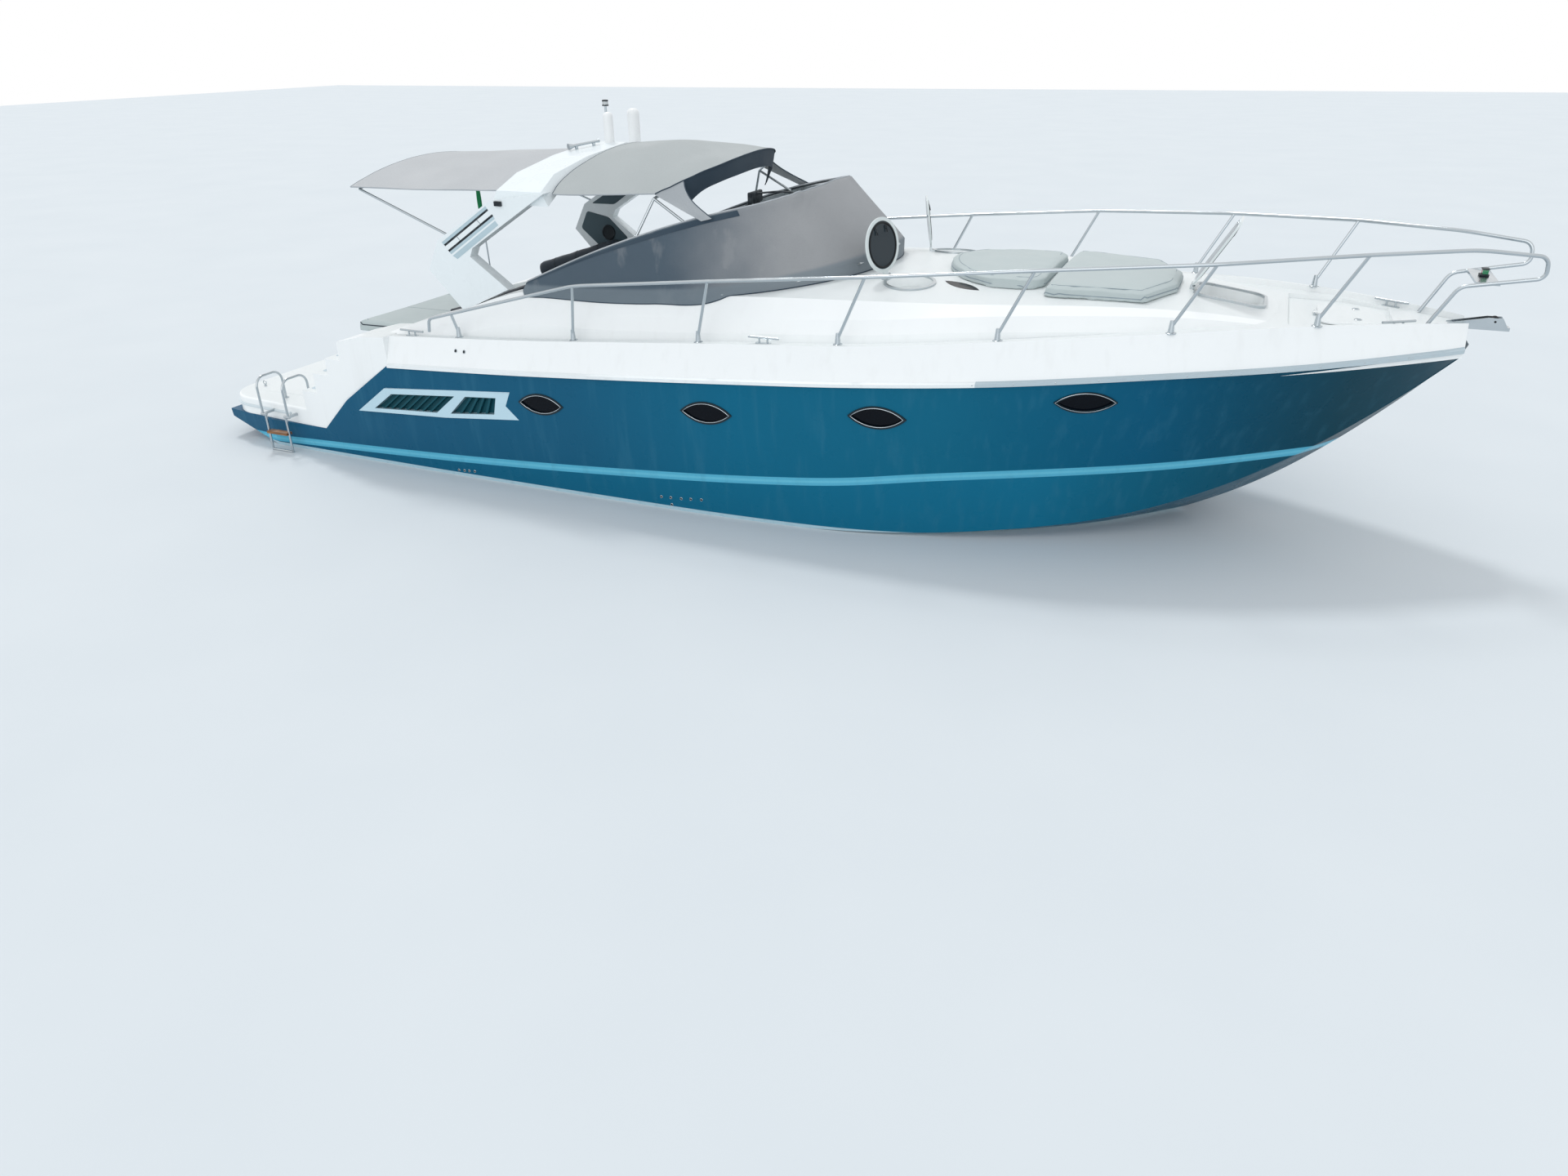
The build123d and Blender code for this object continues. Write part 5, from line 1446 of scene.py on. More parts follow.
@dataclass
class DeckFittings:
    """Deck moulding with its metalwork, locker latches and step pads."""

    latches: tuple = ((5.17, 0.2), (5.17, -0.2))
    # Tread pads on the stern steps: x middle, z, length along X
    steps: tuple = ((-4.165, 1.07, 0.15), (-4.38, 0.89, 0.16), (-4.595, 0.68, 0.15))
    step_y: tuple = (1.2, 1.6)
    ribs: int = 5
    # Turned parts: radius, height
    latch: tuple = ((0.03, -0.001), (0.03, 0.003), (0.026, 0.006), (0.012, 0.006), (0.012, 0.003))
    flange: tuple = ((0.04, -0.004), (0.04, 0.003), (0.036, 0.006), (0.027, 0.007))
    screw: tuple = ((0.004, 0), (0.004, 0.002), (0.002, 0.0035))
    screw_ring: float = 0.033
    foot_slice: float = 0.012
    # Parts of the bow lamp: low and high corner from its place on the pulpit's plate, and the edges' round
    lamp_x: float = 5.985
    lamp: tuple = (
        ("base", (-0.035, -0.04, 0.0), (0.03, 0.04, 0.016), 0.004, DARK_TRIM),
        ("green", (-0.02, -0.036, 0.016), (0.022, -0.001, 0.05), 0.007, GREEN_LAMP),
        ("red", (-0.02, 0.001, 0.016), (0.022, 0.036, 0.05), 0.007, RED_LAMP),
        ("cap", (-0.026, -0.038, 0.05), (0.026, 0.038, 0.058), 0.003, DARK_TRIM),
    )

    def build(self) -> None:
        """Dress the deck's nodes and add what stands on it."""
        dress(DECK_WHITE, "deck", "swim_platform", "cockpit_bases", "helm_console", "locker_lid")
        dress(POLISHED, "guard_rails", "stanchions", "pulpit_plate", "cleats", "bow_roller", "locker_hinges")
        dress(RUBBER, "roller_wheel")
        dress(DARK_PANE, "skylights")
        self._latches()
        self._step_pads()
        self._feet()
        self._bow_lamp()

    def _latches(self) -> None:
        """Set two turn latches on the anchor locker's lid."""
        probe = Probe.of("locker_lid")
        parts = []
        for x, y in self.latches:
            foot = probe.down(x, y)
            parts += [revolve(self.latch, foot, UP), centred(foot + UP * 0.007, (0.018, 0.005, 0.004), 0.002)]
        piece("locker_latches", joined(parts), POLISHED, body="locker_lid")

    def _step_pads(self) -> None:
        """Lay ribbed pads on the stern steps."""
        parts = []
        low, high = self.step_y
        rib_half = (high - low) / 2 - 0.03
        for x, z, run in self.steps:
            outline = rounded(oblong((x - run / 2, low), (x + run / 2, high)), 0.03, 4)
            parts.append(prism([Vector((*spot, z)) for spot in outline], UP * 0.004, 0.0012))
            for rib in range(self.ribs):
                rib_x = x - run / 2 + (rib + 1) * run / (self.ribs + 1)
                spot = rib_x, (low + high) / 2, z + 0.00475
                parts.append(centred(spot, (0.006, rib_half, 0.00175), 0.001))
        piece("step_pads", both_sides(parts), STEP_PAD)

    def _feet(self) -> None:
        """Put a flange with screws round each stanchion's foot."""
        parts = []
        probe = Probe.of("deck")
        for points, _ in solids_of("stanchions"):
            low = min(p.z for p in points)
            ring = [p for p in points if p.z < low + self.foot_slice]
            middle = sum(ring, Vector()) / len(ring)
            foot, normal = probe.cast(Vector((middle.x, middle.y, OVERHEAD)), -UP)
            parts.append(revolve(self.flange, foot, normal))
            for spot in circle(foot + UP * 0.004, FORWARD * self.screw_ring, PORT * self.screw_ring, 3):
                parts.append(revolve(self.screw, spot, normal, 8))
        piece("stanchion_flanges", joined(parts), POLISHED)

    def _bow_lamp(self) -> None:
        """Set the two-colour bow lamp on the pulpit's plate."""
        foot = Vector((self.lamp_x, 0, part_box("pulpit_plate")[1].z))
        for name, low, high, bevel, finish in self.lamp:
            piece(f"bow_lamp_{name}", block(foot + Vector(low), foot + Vector(high), bevel), finish)


@dataclass
class Hatch:
    """One deck hatch: its ring, its lid, and what is on the lid."""

    name: str
    size: tuple[float, float]
    power: float
    ring_width: float = 0.03
    # From the lid's edge in to the seal and to the catches
    seal_in: float = 0.046
    catch_in: float = 0.09
    seal_r: float = 0.007
    seal_under: float = 0.0085
    # Catch: place along the hinge as a share of the lid's width, length, and its knob's radius and height
    catch_share: float = 0.15
    lever: float = 0.045
    knob: tuple = ((0.018, -0.002), (0.018, 0.006), (0.012, 0.012), (0.004, 0.013))
    joint: dict = field(init=False)

    def __post_init__(self) -> None:
        """Look the hinge up in the frame."""
        self.joint = next(j for j in frame["joints"] if j["child"] == f"hatch_lid_{self.name}")

    def _axes(self) -> tuple[Vector, Vector, Vector, Vector]:
        """Work out the lid's centre, its two axes and its upper side from its mesh.

        Returns:
            Centre, away from the hinge, along the hinge, and outward.
        """
        data = frame["nodes"][f"hatch_lid_{self.name}"].data
        hinge = Vector(self.joint["pos_m"])
        along = Vector(self.joint["axis"]).normalized()
        largest = max(data.polygons, key=lambda face: face.area if abs(face.normal.dot(along)) < 0.1 else 0.0)
        outward = largest.normal.copy()
        away = along.cross(outward).normalized()
        reach = [(v.co - hinge).dot(away) for v in data.vertices]
        if max(reach) < -min(reach):
            away = -away
        far = max((v.co - hinge).dot(away) for v in data.vertices)
        depth = [(v.co - hinge).dot(outward) for v in data.vertices if (v.co - hinge).dot(away) > 0.1]
        centre = hinge + away * (far - self.size[0] / 2) + outward * (min(depth) + max(depth)) / 2
        return centre, away, along, outward

    def build(self) -> None:
        """Dress the ring and the lid, and add the gasket and the catches."""
        body = f"hatch_lid_{self.name}"
        centre, away, along, outward = self._axes()
        half = tuple(size / 2 - self.ring_width for size in self.size)
        dress(FRAME_METAL, f"hatch_ring_{self.name}")
        lid = Lid(f"lid_{self.name}", shade("1e2c34"), 0.14, 0.06, specular=0.3, mottle=0.04, grain=50.0,
                  grain_depth=0.00005, film=0.02, centre=tuple(centre), along=tuple(away),
                  across=tuple(along), half=half, power=self.power)
        dress(lid, body)
        under = outward if (Vector(self.joint["pos_m"]) - centre).dot(outward) > 0 else -outward
        reach = [size / 2 - self.seal_in for size in self.size]
        ring = self._outline(centre + under * self.seal_under, away * reach[0], along * reach[1])
        piece(f"hatch_gasket_{self.name}", tube(ring, self.seal_r, ends=Ends.CLOSED), RUBBER, body=body)
        parts = []
        for end in (-self.catch_share, self.catch_share):
            foot = centre + along * end * self.size[1] + under * 0.008
            foot += away * (self.size[0] / 2 - self.catch_in)
            parts.append(revolve(self.knob, foot, under, 16))
            parts.append(tube([foot + under * 0.01, foot + under * 0.014 - away * self.lever], 0.005))
        piece(f"hatch_catches_{self.name}", joined(parts), DARK_TRIM, body=body)

    def _outline(self, centre: Vector, first: Vector, second: Vector) -> Line:
        """Give an outline of the lid's form.

        Args:
            centre: Its middle.
            first: Its half length, away from the hinge.
            second: Its half width, along the hinge.

        Returns:
            The outline's points.
        """
        made = []
        for spot in circle(Vector(), FORWARD, PORT, 48):
            x, y = (copysign(abs(part) ** (2 / self.power), part) for part in spot.xy)
            made.append(centre + first * x + second * y)
        return made


@dataclass
class Sunpads:
    """Foredeck and stern sunpads with their beads."""

    nose_x: float = 1.79
    shoulder: tuple = (2.3, 0.72)
    aft_edge: float = 2.753
    aft_corner: float = 0.2
    fore_outline: tuple = ((2.765, 0.88), (2.9, 0.895), (3.58, 0.77), (3.795, 0.27))
    stern: tuple = ((-4.44, -1.01), (-3.565, 1.10))
    bead_r: float = 0.0045
    bead_in: float = 0.016
    seam_r: float = 0.003
    seam_in: float = 0.075
    stern_bead_r: float = 0.006
    stern_seam_in: float = 0.1

    def add_to(self, shop: Upholstery) -> None:
        """Hand the pads over for stuffing.

        Args:
            shop: Where they are stuffed.
        """
        pads = ("aft_sunpad", "sunpad_aft"), ("fore_sunpad", "sunpad_fore"), ("stern_pad", "stern_sunpad")
        shop.pads += [Pad(name, solids_of(node)[0], PAD_HIDE, "pad_cloth", node, 0.02) for name, node in pads]
        self.aft, self.fore, self.back = shop.pads[-3:]

    def _aft_outline(self) -> Outline:
        """Give the aft pad's outline in plan, anticlockwise.

        Returns:
            The outline.
        """
        x, y = self.shoulder
        nose = arc_line(Vector((x, y, 0)), Vector((self.nose_x, 0, 0)), Vector((x, -y, 0)), 22)
        edge, inner = self.aft_edge, self.aft_edge - self.aft_corner
        starboard = eased(Vector((inner, -y)), Vector((edge, -y)), Vector((edge, self.aft_corner - y)), 6)
        port = eased(Vector((edge, y - self.aft_corner)), Vector((edge, y)), Vector((inner, y)), 6)
        return [(p.x, p.y) for p in nose] + starboard + port

    def _fore_outline(self) -> Outline:
        """Give the fore pad's outline in plan, anticlockwise."""
        starboard = [(x, -y) for x, y in self.fore_outline]
        return rounded(starboard + list(self.fore_outline[::-1]), 0.055)

    def finish(self) -> None:
        """Sew the beads on the stuffed pads; their dark colours also give painted shadow lines along edges
        and seams.
        """
        aft, fore = self._aft_outline(), self._fore_outline()
        for name, outline, pad in (("aft_sunpad", aft, self.aft), ("fore_sunpad", fore, self.fore)):
            piping(f"{name}_bead", pulled_in(outline, self.bead_in), pad, self.bead_r, SEAM_AND_SHADOW)
            piping(f"{name}_seam", pulled_in(outline, self.seam_in), pad, self.seam_r, SEAM_AND_SHADOW)
        box = rounded(oblong(*self.stern), 0.06)
        # Slate bead round the stern pad: its slate base, with painted shadow at its edge
        piping("stern_pad_bead_and_shadow", pulled_in(box, 0.02), self.back, self.stern_bead_r, SLATE_HIDE)
        piping("stern_pad_seam", pulled_in(box, self.stern_seam_in), self.back, self.seam_r, SEAM_AND_SHADOW)
        (x0, y0), (x1, y1) = self.stern
        probe = Probe(self.back.made.data)
        for index in (1, 2):
            y = y0 + (y1 - y0) / 3 * index
            run = x1 - x0 - 2 * self.stern_seam_in
            line = [probe.down(x0 + self.stern_seam_in + run * k / 12, y) - UP * 0.001 for k in range(13)]
            piece(f"stern_pad_channel_{index}", tube(line, self.seam_r), SEAM_AND_SHADOW)


@dataclass
class Cockpit:
    """Seats, helm, door and engines."""

    # The helm's slope, aft edge and fore edge: x, z
    slope: tuple = ((-0.985, 1.45), (-0.87, 1.695))
    # Dark panel: its corner's y, width and height up the slope
    panel: tuple = (-1.1, 0.82, 0.22)
    # Dials: y, height above the row's line
    dials: tuple = ((-0.42, 0.05), (-0.56, 0.05), (-0.74, 0.05), (-0.88, 0.05))
    dial_row: float = 0.11
    # Turned parts: radius, height
    bezel: tuple = ((0.045, 0), (0.045, 0.008), (0.0405, 0.01), (0.0387, 0.005))
    dial: tuple = ((0.0378, 0), (0.0378, 0.006))
    compass: tuple = ((0.06, -0.002), (0.06, 0.02), (0.05, 0.045), (0.03, 0.062), (0.004, 0.068))
    compass_at: tuple = (-0.72, -0.65)
    # Hood and screen: x and y from and to, height, round of the edges
    hoods: tuple = (((-0.83, -0.95), (-0.64, -0.78), 0.05, 0.02), ((-0.8, -0.5), (-0.66, -0.3), 0.09, 0.015))
    lever_at: tuple = (-0.99, -0.3, 1.46)
    lever_foot: tuple = ((0.045, 0), (0.045, 0.02), (0.03, 0.035), (0.012, 0.04))
    # Middle of the stuffed roll on the coaming
    roll: tuple = ((-3.5, 1.14, 1.48), (-2.96, 1.15, 1.645), (-2.42, 1.15, 1.815))
    roll_r: float = 0.085
    roll_height: float = 1.12
    roll_crease: float = 0.004
    roll_sides: int = 20
    # Rings in from each end of the roll where a seam lies
    seam_ring: int = 6

    def add_to(self, shop: Upholstery) -> None:
        """Hand the cushions over for stuffing.

        Args:
            shop: Where they are stuffed.
        """
        for number, mesh in enumerate(solids_of("cockpit_cushions"), 1):
            name = f"cushion_{number}"
            shop.pads.append(Pad(name, mesh, SLATE_HIDE, "cockpit_cloth", "cockpit_cushions", 0.022, 0.01))

    def build(self) -> None:
        """Dress the cockpit's nodes and add the helm's instruments."""
        dress(GRIP, "steering_wheel")
        dress(DOOR_ACRYLIC, "companion_door")
        dress(ENGINE_PAINT, "engines")
        self._helm()
        self._bolster()

    def _helm(self) -> None:
        """Set a dark panel with dials, a throttle and a compass on the console."""
        aft, fore = (Vector((x, 0, z)) for x, z in self.slope)
        lean = (fore - aft).normalized()
        out = Vector((-lean.z, 0, lean.x))
        y, wide, high = self.panel
        corner = aft + PORT * y + lean * 0.02 - out * 0.002
        outline = [corner, corner + PORT * wide, corner + PORT * wide + lean * high, corner + lean * high]
        parts, faces = [prism(outline, out * 0.006, 0.002)], []
        for y, up in self.dials:
            foot = aft + PORT * y + lean * (self.dial_row + up) + out * 0.003
            parts.append(revolve(self.bezel, foot, out, 24))
            faces.append(revolve(self.dial, foot, out, 24))
        piece("helm_panel", joined(parts), DARK_TRIM)
        piece("helm_dials", joined(faces), DIAL_FACE)
        top = Probe.of("helm_console").down(*self.compass_at)
        piece("helm_compass", revolve(self.compass, top, UP, 24), DARK_TRIM)
        hoods = []
        for low, high, rise, bevel in self.hoods:
            hoods.append(block((*low, top.z - 0.005), (*high, top.z + rise), bevel))
        piece("helm_instrument_hoods", joined(hoods), DARK_TRIM)
        lever = Vector(self.lever_at)
        knob = lever + out * 0.05 + UP * 0.14
        throttle = [
            revolve(self.lever_foot, lever, out), tube([lever + out * 0.03, knob], 0.007, 10),
            tube([knob - PORT * 0.03, knob + PORT * 0.03], 0.013, 12),
        ]
        piece("helm_throttle", joined(throttle), DARK_TRIM)

    def _bolster(self) -> None:
        """Run a dark stuffed roll along the inside of the port coaming."""
        line = smooth_line([Vector(point) for point in self.roll], 12)
        count = len(line) - 1
        rings = []
        for index, point in enumerate(line):
            share = index / count
            end = min(share, 1 - share) * length_of(line)
            full = sqrt(max(0.0, 1 - max(0.0, 1 - end / self.roll_r) ** 2))
            along = (line[min(index + 1, count)] - line[max(index - 1, 0)]).normalized()
            out = PORT - along * along.y
            rise = along.cross(out.normalized())
            crease = self.roll_crease * noise.noise(Vector((share * 14, 2.2, 0.4)))
            radius = max(0.004, full * (self.roll_r + crease))
            rings.append(circle(point, radius * out, self.roll_height * radius * rise, self.roll_sides))
        made = piece("coaming_bolster", skinned(rings), SLATE_HIDE, crease=80.0)
        places = (self.seam_ring, count // 2, count - self.seam_ring)
        seams = [tube(rings[row], 0.0035, ends=Ends.CLOSED) for row in places]
        piece("coaming_bolster_seams", joined(seams), DARK_TRIM)


@dataclass
class Windscreen:
    """Windscreen with the mesh cover stretched over it."""

    # Posts from the aft end to the middle: base, top
    posts: tuple = (
        ((-1.95, 1.375, 1.85), (-1.9, 1.372, 1.925)),
        ((-1.35, 1.37, 1.865), (-1.25, 1.35, 2.19)),
        ((-0.6, 1.365, 1.895), (-0.64, 1.3, 2.4)),
        ((0.08, 1.33, 1.96), (-0.18, 1.16, 2.53)),
        ((0.68, 1.05, 2.06), (0.27, 0.96, 2.63)),
        ((1.08, 0.62, 2.15), (0.56, 0.56, 2.7)),
        ((1.24, 0.0, 2.225), (0.66, 0.0, 2.74)),
    )
    stand_off: float = 0.037
    thick: float = 0.003
    parts: int = 14
    rows: int = 26
    skirt_out: float = 0.024
    skirt_up: float = 0.004
    # How far the cover turns over the head rail
    turn_over: float = 0.014
    hem_r: float = 0.006
    cord_r: float = 0.008
    band_rows: int = 2
    band_posts: float = 3.7
    band_out: float = 0.004
    band_thick: float = 0.002
    fold_depth: float = 0.012
    # Where the cloth is bunched, how far round, and how deep
    bunch: tuple = (0.5, -0.62, 2.69)
    bunch_reach: float = 0.3
    bunch_depth: float = 0.03
    sag: float = 0.006
    mirror: tuple = (0.1, -0.62, 2.67)
    mirror_half: tuple = (0.02, 0.13, 0.05)
    # Lamp under the mirror: radius, height
    lamp: tuple = ((0.012, -0.09), (0.034, -0.08), (0.038, -0.03), (0.016, 0.0))
    lamp_way: tuple = (0.3, 0, 1)

    def build(self) -> None:
        """Dress the frame and the glass, and make the cover."""
        dress(FRAME_METAL, "windscreen_frame")
        dress(TINTED, "windscreen_glass")
        self._cover()

    def _line(self, end: int) -> Line:
        """Give the posts' bases, end 0, or tops, end 1, smoothed, from port aft to starboard aft."""
        port = [Vector(post[end]) for post in self.posts]
        return smooth_line(port + mirrored(port[-2::-1]), self.parts)

    def _folds(self, share: float, height: float, point: Vector) -> float:
        """Give how far the slack cloth stands off.

        Args:
            share: Place along the screen, in posts.
            height: Place up it, from nought to one.
            point: The place itself.

        Returns:
            The extra distance.
        """
        drag = noise.noise(Vector((share * 1.1, height * 0.8, 3.1)))
        ripple = noise.noise(Vector((share * 3.2 + height * 1.6, height * 1.4, 7.7)))
        near = max(0.0, 1.0 - (point - Vector(self.bunch)).length / self.bunch_reach)
        bunched = near * near * (0.5 + 0.5 * sin(46.0 * height + 20.0 * share))
        sag = sin(pi * height) * (0.5 + 0.5 * cos(tau * share)) * self.sag
        slack = self.fold_depth * (0.7 * drag + 0.6 * ripple) + self.bunch_depth * bunched
        return (slack - sag * 0.5 + self.sag) * min(1.0, 5.0 * height)

    def _mirror(self) -> None:
        """Hang a dark mirror with two lamps from the head rail."""
        middle = Vector(self.mirror)
        foot, head = middle + Vector((0.45, 0.04, 0.035)), middle + Vector((0.02, 0, 0.03))
        arm = tube([foot, foot.lerp(head, 0.5) + UP * 0.02, head], 0.009)
        parts = [arm, centred(middle, self.mirror_half, 0.014)]
        for shift in (-0.09, 0.09):
            spot = middle + Vector((-0.01, shift, -0.04))
            parts.append(revolve(self.lamp, spot, Vector(self.lamp_way), 16))
        piece("screen_mirror", joined(parts), DARK_TRIM)

    def _cover(self) -> None:
        """Stretch the cover from the rail down to the deck, with folds and a corded hem."""
        bases, tops = self._line(0), self._line(1)
        count = len(bases)
        inside = Vector((-1.5, 0, 1.8))
        deck = Probe.of("deck")
        skirt, normals = [], []
        for index, (base, top) in enumerate(zip(bases, tops)):
            along = bases[min(index + 1, count - 1)] - bases[max(index - 1, 0)]
            out = along.cross(UP).normalized()
            foot = base + out * copysign(self.skirt_out, out.dot(base - inside))
            skirt.append(deck.down(foot.x, foot.y, 2.6) + UP * self.skirt_up)
            normal = (top - base).cross(along).normalized()
            normals.append(normal if normal.dot(base - inside) > 0 else -normal)
        rows, plain = [skirt], [skirt]
        for row in range(self.rows + 1):
            t = row / self.rows
            line, flat = [], []
            for index, (base, top, normal) in enumerate(zip(bases, tops, normals)):
                spot = base.lerp(top, t)
                flat.append(spot + normal * self.stand_off)
                line.append(flat[-1] + normal * self._folds(index / self.parts, t, spot))
            rows.append(line)
            plain.append(flat)
        over = []
        for base, top, edge in zip(bases, tops, rows[-1]):
            over.append(edge + ((top - base).normalized() - (edge - top).normalized()) * self.turn_over)
        rows.append(over)
        plain.append(over)
        rows.reverse()
        cover = piece("screen_cover_cloth", cloth(rows, self.thick), COVER, crease=80.0)
        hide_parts("screen_cover")
        foot = tube([p + UP * 0.002 for p in skirt], self.hem_r)
        head = tube([p + UP * 0.004 for p in over], self.cord_r)
        hem = piece("screen_cover_hem", foot, SLATE_CLOTH)
        cord = piece("screen_cover_cord", head, HEM_CLOTH)
        reach = round(self.band_posts * self.parts)
        bands = []
        for span in (range(reach), range(count - reach, count)):
            grid = [[row[i] + normals[i] * self.band_out for i in span] for row in rows[1:self.band_rows + 2]]
            bands.append(cloth(grid, self.band_thick))
        band = piece("screen_cover_bands", joined(bands), SLATE_CLOTH, crease=75.0)
        self._mirror()
        flat = length_of(plain[len(plain) // 2]), spans(plain)[1]
        cut_area(plain, flat)


@dataclass
class Canopy:
    """One canopy: a sewn sheet over its hoops, with hems and seams."""

    name: str
    finish: Finish
    # Sections: x, half width, side z, crown z
    sections: tuple
    # Aft and fore edges: distance from the centreline, x
    aft_edge: tuple
    fore_edge: tuple
    hoops: tuple
    thick: float = 0.003
    across: int = 56
    along: int = 34
    # Slack between the hoops, and the run from a hoop to its full depth
    slack: float = 0.01
    slack_run: float = 0.45
    crease: float = 0.0022
    clearance: float = 0.0006
    hem_r: float = 0.0055
    # Seams along the sheet: place across, half the gap between the two rows of thread
    seam_at: float = 0.42
    seam_gap: float = 0.008
    thread_r: float = 0.0012

    def _section(self, x: float) -> tuple[float, float, float]:
        """Give the cross-section at a place.

        Args:
            x: The place along X.

        Returns:
            Half width, side height and crown height.
        """
        rows = self.sections
        share = 0.0
        for index in range(len(rows) - 1):
            if x >= rows[index][0]:
                share = index + min(1.0, (x - rows[index][0]) / (rows[index + 1][0] - rows[index][0]))
        spot = [spot_on([Vector((row[k], 0, 0)) for row in rows], share).x for k in (1, 2, 3)]
        return spot[0], spot[1], spot[2]

    @staticmethod
    def _edge(table: tuple, y: float) -> float:
        """Give an edge's place at a distance from the centreline.

        Args:
            table: The edge's points: distance from the centreline, x.
            y: The distance.

        Returns:
            The place along X.
        """
        spots = [Vector((x, 0, 0)) for _, x in table]
        index = max(k for k in range(len(table) - 1) if abs(y) >= table[k][0] or k == 0)
        start, end = table[index][0], table[index + 1][0]
        return spot_on(spots, index + min(1.0, (abs(y) - start) / (end - start))).x

    def point(self, share: float, side: float) -> Vector:
        """Give a point of the sheet.

        Args:
            share: Place from the aft edge to the fore one, nought to one.
            side: Place from starboard to port, minus one to one.

        Returns:
            The point.
        """
        x = self.aft_edge[0][1] * (1 - share) + self.fore_edge[0][1] * share
        for _ in range(5):
            y = side * self._section(x)[0]
            x = self._edge(self.aft_edge, y) * (1 - share) + self._edge(self.fore_edge, y) * share
        half, low, crown = self._section(x)
        rise = crown - low
        radius = (half * half + rise * rise) / (2 * rise)
        y = side * half
        z = crown - radius + sqrt(max(radius * radius - y * y, 0.0))
        gap = min(abs(x - hoop) for hoop in self.hoops)
        slack = self.slack * min(1.0, gap / self.slack_run) ** 2 * cos(side * pi / 2)
        crease = self.crease * noise.noise(Vector((x * 3.0, y * 9.0, 1.3))) * (0.3 + abs(side))
        return Vector((x, y, z - slack + crease - self.clearance))

    def _trim(self, name: str, lines: Grid, radius: float, sides: int, finish: Finish) -> bpy.types.Object:
        """Lay thin tubes on the sheet as one piece."""
        parts = [tube(line, radius, sides) for line in lines]
        return piece(f"{self.name}_{name}", joined(parts), finish)

    def build(self) -> None:
        """Make the sheet, its hems and its seams, in place of the CAD one."""
        rows = [
            [self.point(i / self.along, 1 - 2 * j / self.across) for j in range(self.across + 1)]
            for i in range(self.along + 1)
        ]
        top = piece(f"{self.name}_sheet", cloth(rows, self.thick), self.finish, crease=70.0)
        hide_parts(self.name)
        edges = (rows[0], rows[-1], [row[0] for row in rows], [row[-1] for row in rows])
        hems = [[point - UP * 0.001 for point in edge] for edge in edges]
        seams = [
            [self.point(i / 40, side + shift) + UP * 0.0004 for i in range(41)]
            for side in (-self.seam_at, self.seam_at) for shift in (-self.seam_gap, self.seam_gap)
        ]
        trims = [
            # Slate hems across both ends; on the aft canopy they also stand for painted shadow under its
            # edges
            self._trim("cross_hems_and_shadow", hems[:2], self.hem_r, 8, SLATE_CLOTH),
            self._trim("side_hems", hems[2:], self.hem_r, 8, HEM_CLOTH),
            self._trim("stitching", seams, self.thread_r, 6, HEM_CLOTH),
        ]
        flat = spans(rows)
        cut_area(rows, flat)


@dataclass
class Curtains:
    """Slate valance under the fore canopy's front edge, with a pale curtain at each corner."""

    canopy: Canopy
    depth: float = 0.15
    corner_depth: float = 0.1
    # Where the curtains start, as a share of the half width
    start: float = 0.84
    foot: tuple = ((-0.15, 1.215, 2.53), (-0.05, 1.2, 2.555))
    bow: float = 0.07
    thick: float = 0.003
    hem_r: float = 0.0055
    # Place of the canopy's front edge, how far below it the cloth starts, and how far it hangs aft
    front: float = 0.994
    under: float = 0.006
    lean: float = 0.2
    # Share of the valance's half width where it starts to deepen
    deepen_from: float = 0.72
    swing: float = 0.01
    fold: float = 0.008

    def build(self) -> None:
        """Hang the valance and both corner curtains."""
        self._valance()
        for side in Side:
            self._corner(side)

    def _hang(self, name: str, rows: Grid, finish: Finish, hem: Line) -> None:
        """Make one hanging cloth with its hem.

        Args:
            name: The cloth's name.
            rows: Its grid, from the top down.
            finish: Its finish.
            hem: The line of its hem.
        """
        made = piece(name, cloth(rows, self.thick), finish, crease=75.0)
        edge = piece(f"{name}_hem", tube(hem, self.hem_r), SLATE_CLOTH)
        flat = spans(rows)
        cut_area(rows, flat)

    def _valance(self) -> None:
        """Hang the valance, deeper where it runs into the corner curtains."""
        rows = []
        for step in range(9):
            line = []
            for index in range(61):
                side = self.start * (1 - 2 * index / 60)
                near = max(0.0, abs(side) / self.start - self.deepen_from) / (1 - self.deepen_from)
                fall = (self.depth + self.corner_depth * near * near) * step / 8
                swing = self.swing * noise.noise(Vector((side * 6.0, fall * 9.0, 4.4))) * step / 8
                edge = self.canopy.point(self.front, side)
                line.append(edge + Vector((swing - self.lean * fall, 0, -fall - self.under)))
            rows.append(line)
        self._hang("fore_valance", rows, SLATE_CLOTH, rows[-1])

    def _corner(self, side: Side) -> None:
        """Hang one corner curtain from the canopy's edge down to the screen's rail.

        Args:
            side: Which side.
        """
        sign = side.value
        foot = [Vector((x, sign * y, z)) for x, y, z in self.foot]
        corner = self.canopy.point(self.front, sign)
        middle = (self.canopy.point(self.front, sign * self.start) + foot[1]) / 2
        inward = (corner - middle).normalized()
        rows = []
        for step in range(15):
            down = step / 14
            belly = sin(pi * down)
            line = []
            for index in range(13):
                over = index / 12
                top = self.canopy.point(self.front, sign * (1 - (1 - self.start) * over)) - UP * self.under
                spot = top.lerp(foot[0].lerp(foot[1], over), down)
                pull = self.bow * belly * over * over
                fold = self.fold * noise.noise(Vector((over * 3.0, down * 4.0, sign * 5.0))) * belly
                line.append(spot + inward * pull + PORT * sign * fold)
            rows.append(line if sign > 0 else line[::-1])
        edge = [row[-1] if sign > 0 else row[0] for row in rows]
        self._hang(f"corner_curtain_{side.name.lower()}", rows, CURTAIN_CLOTH, edge)


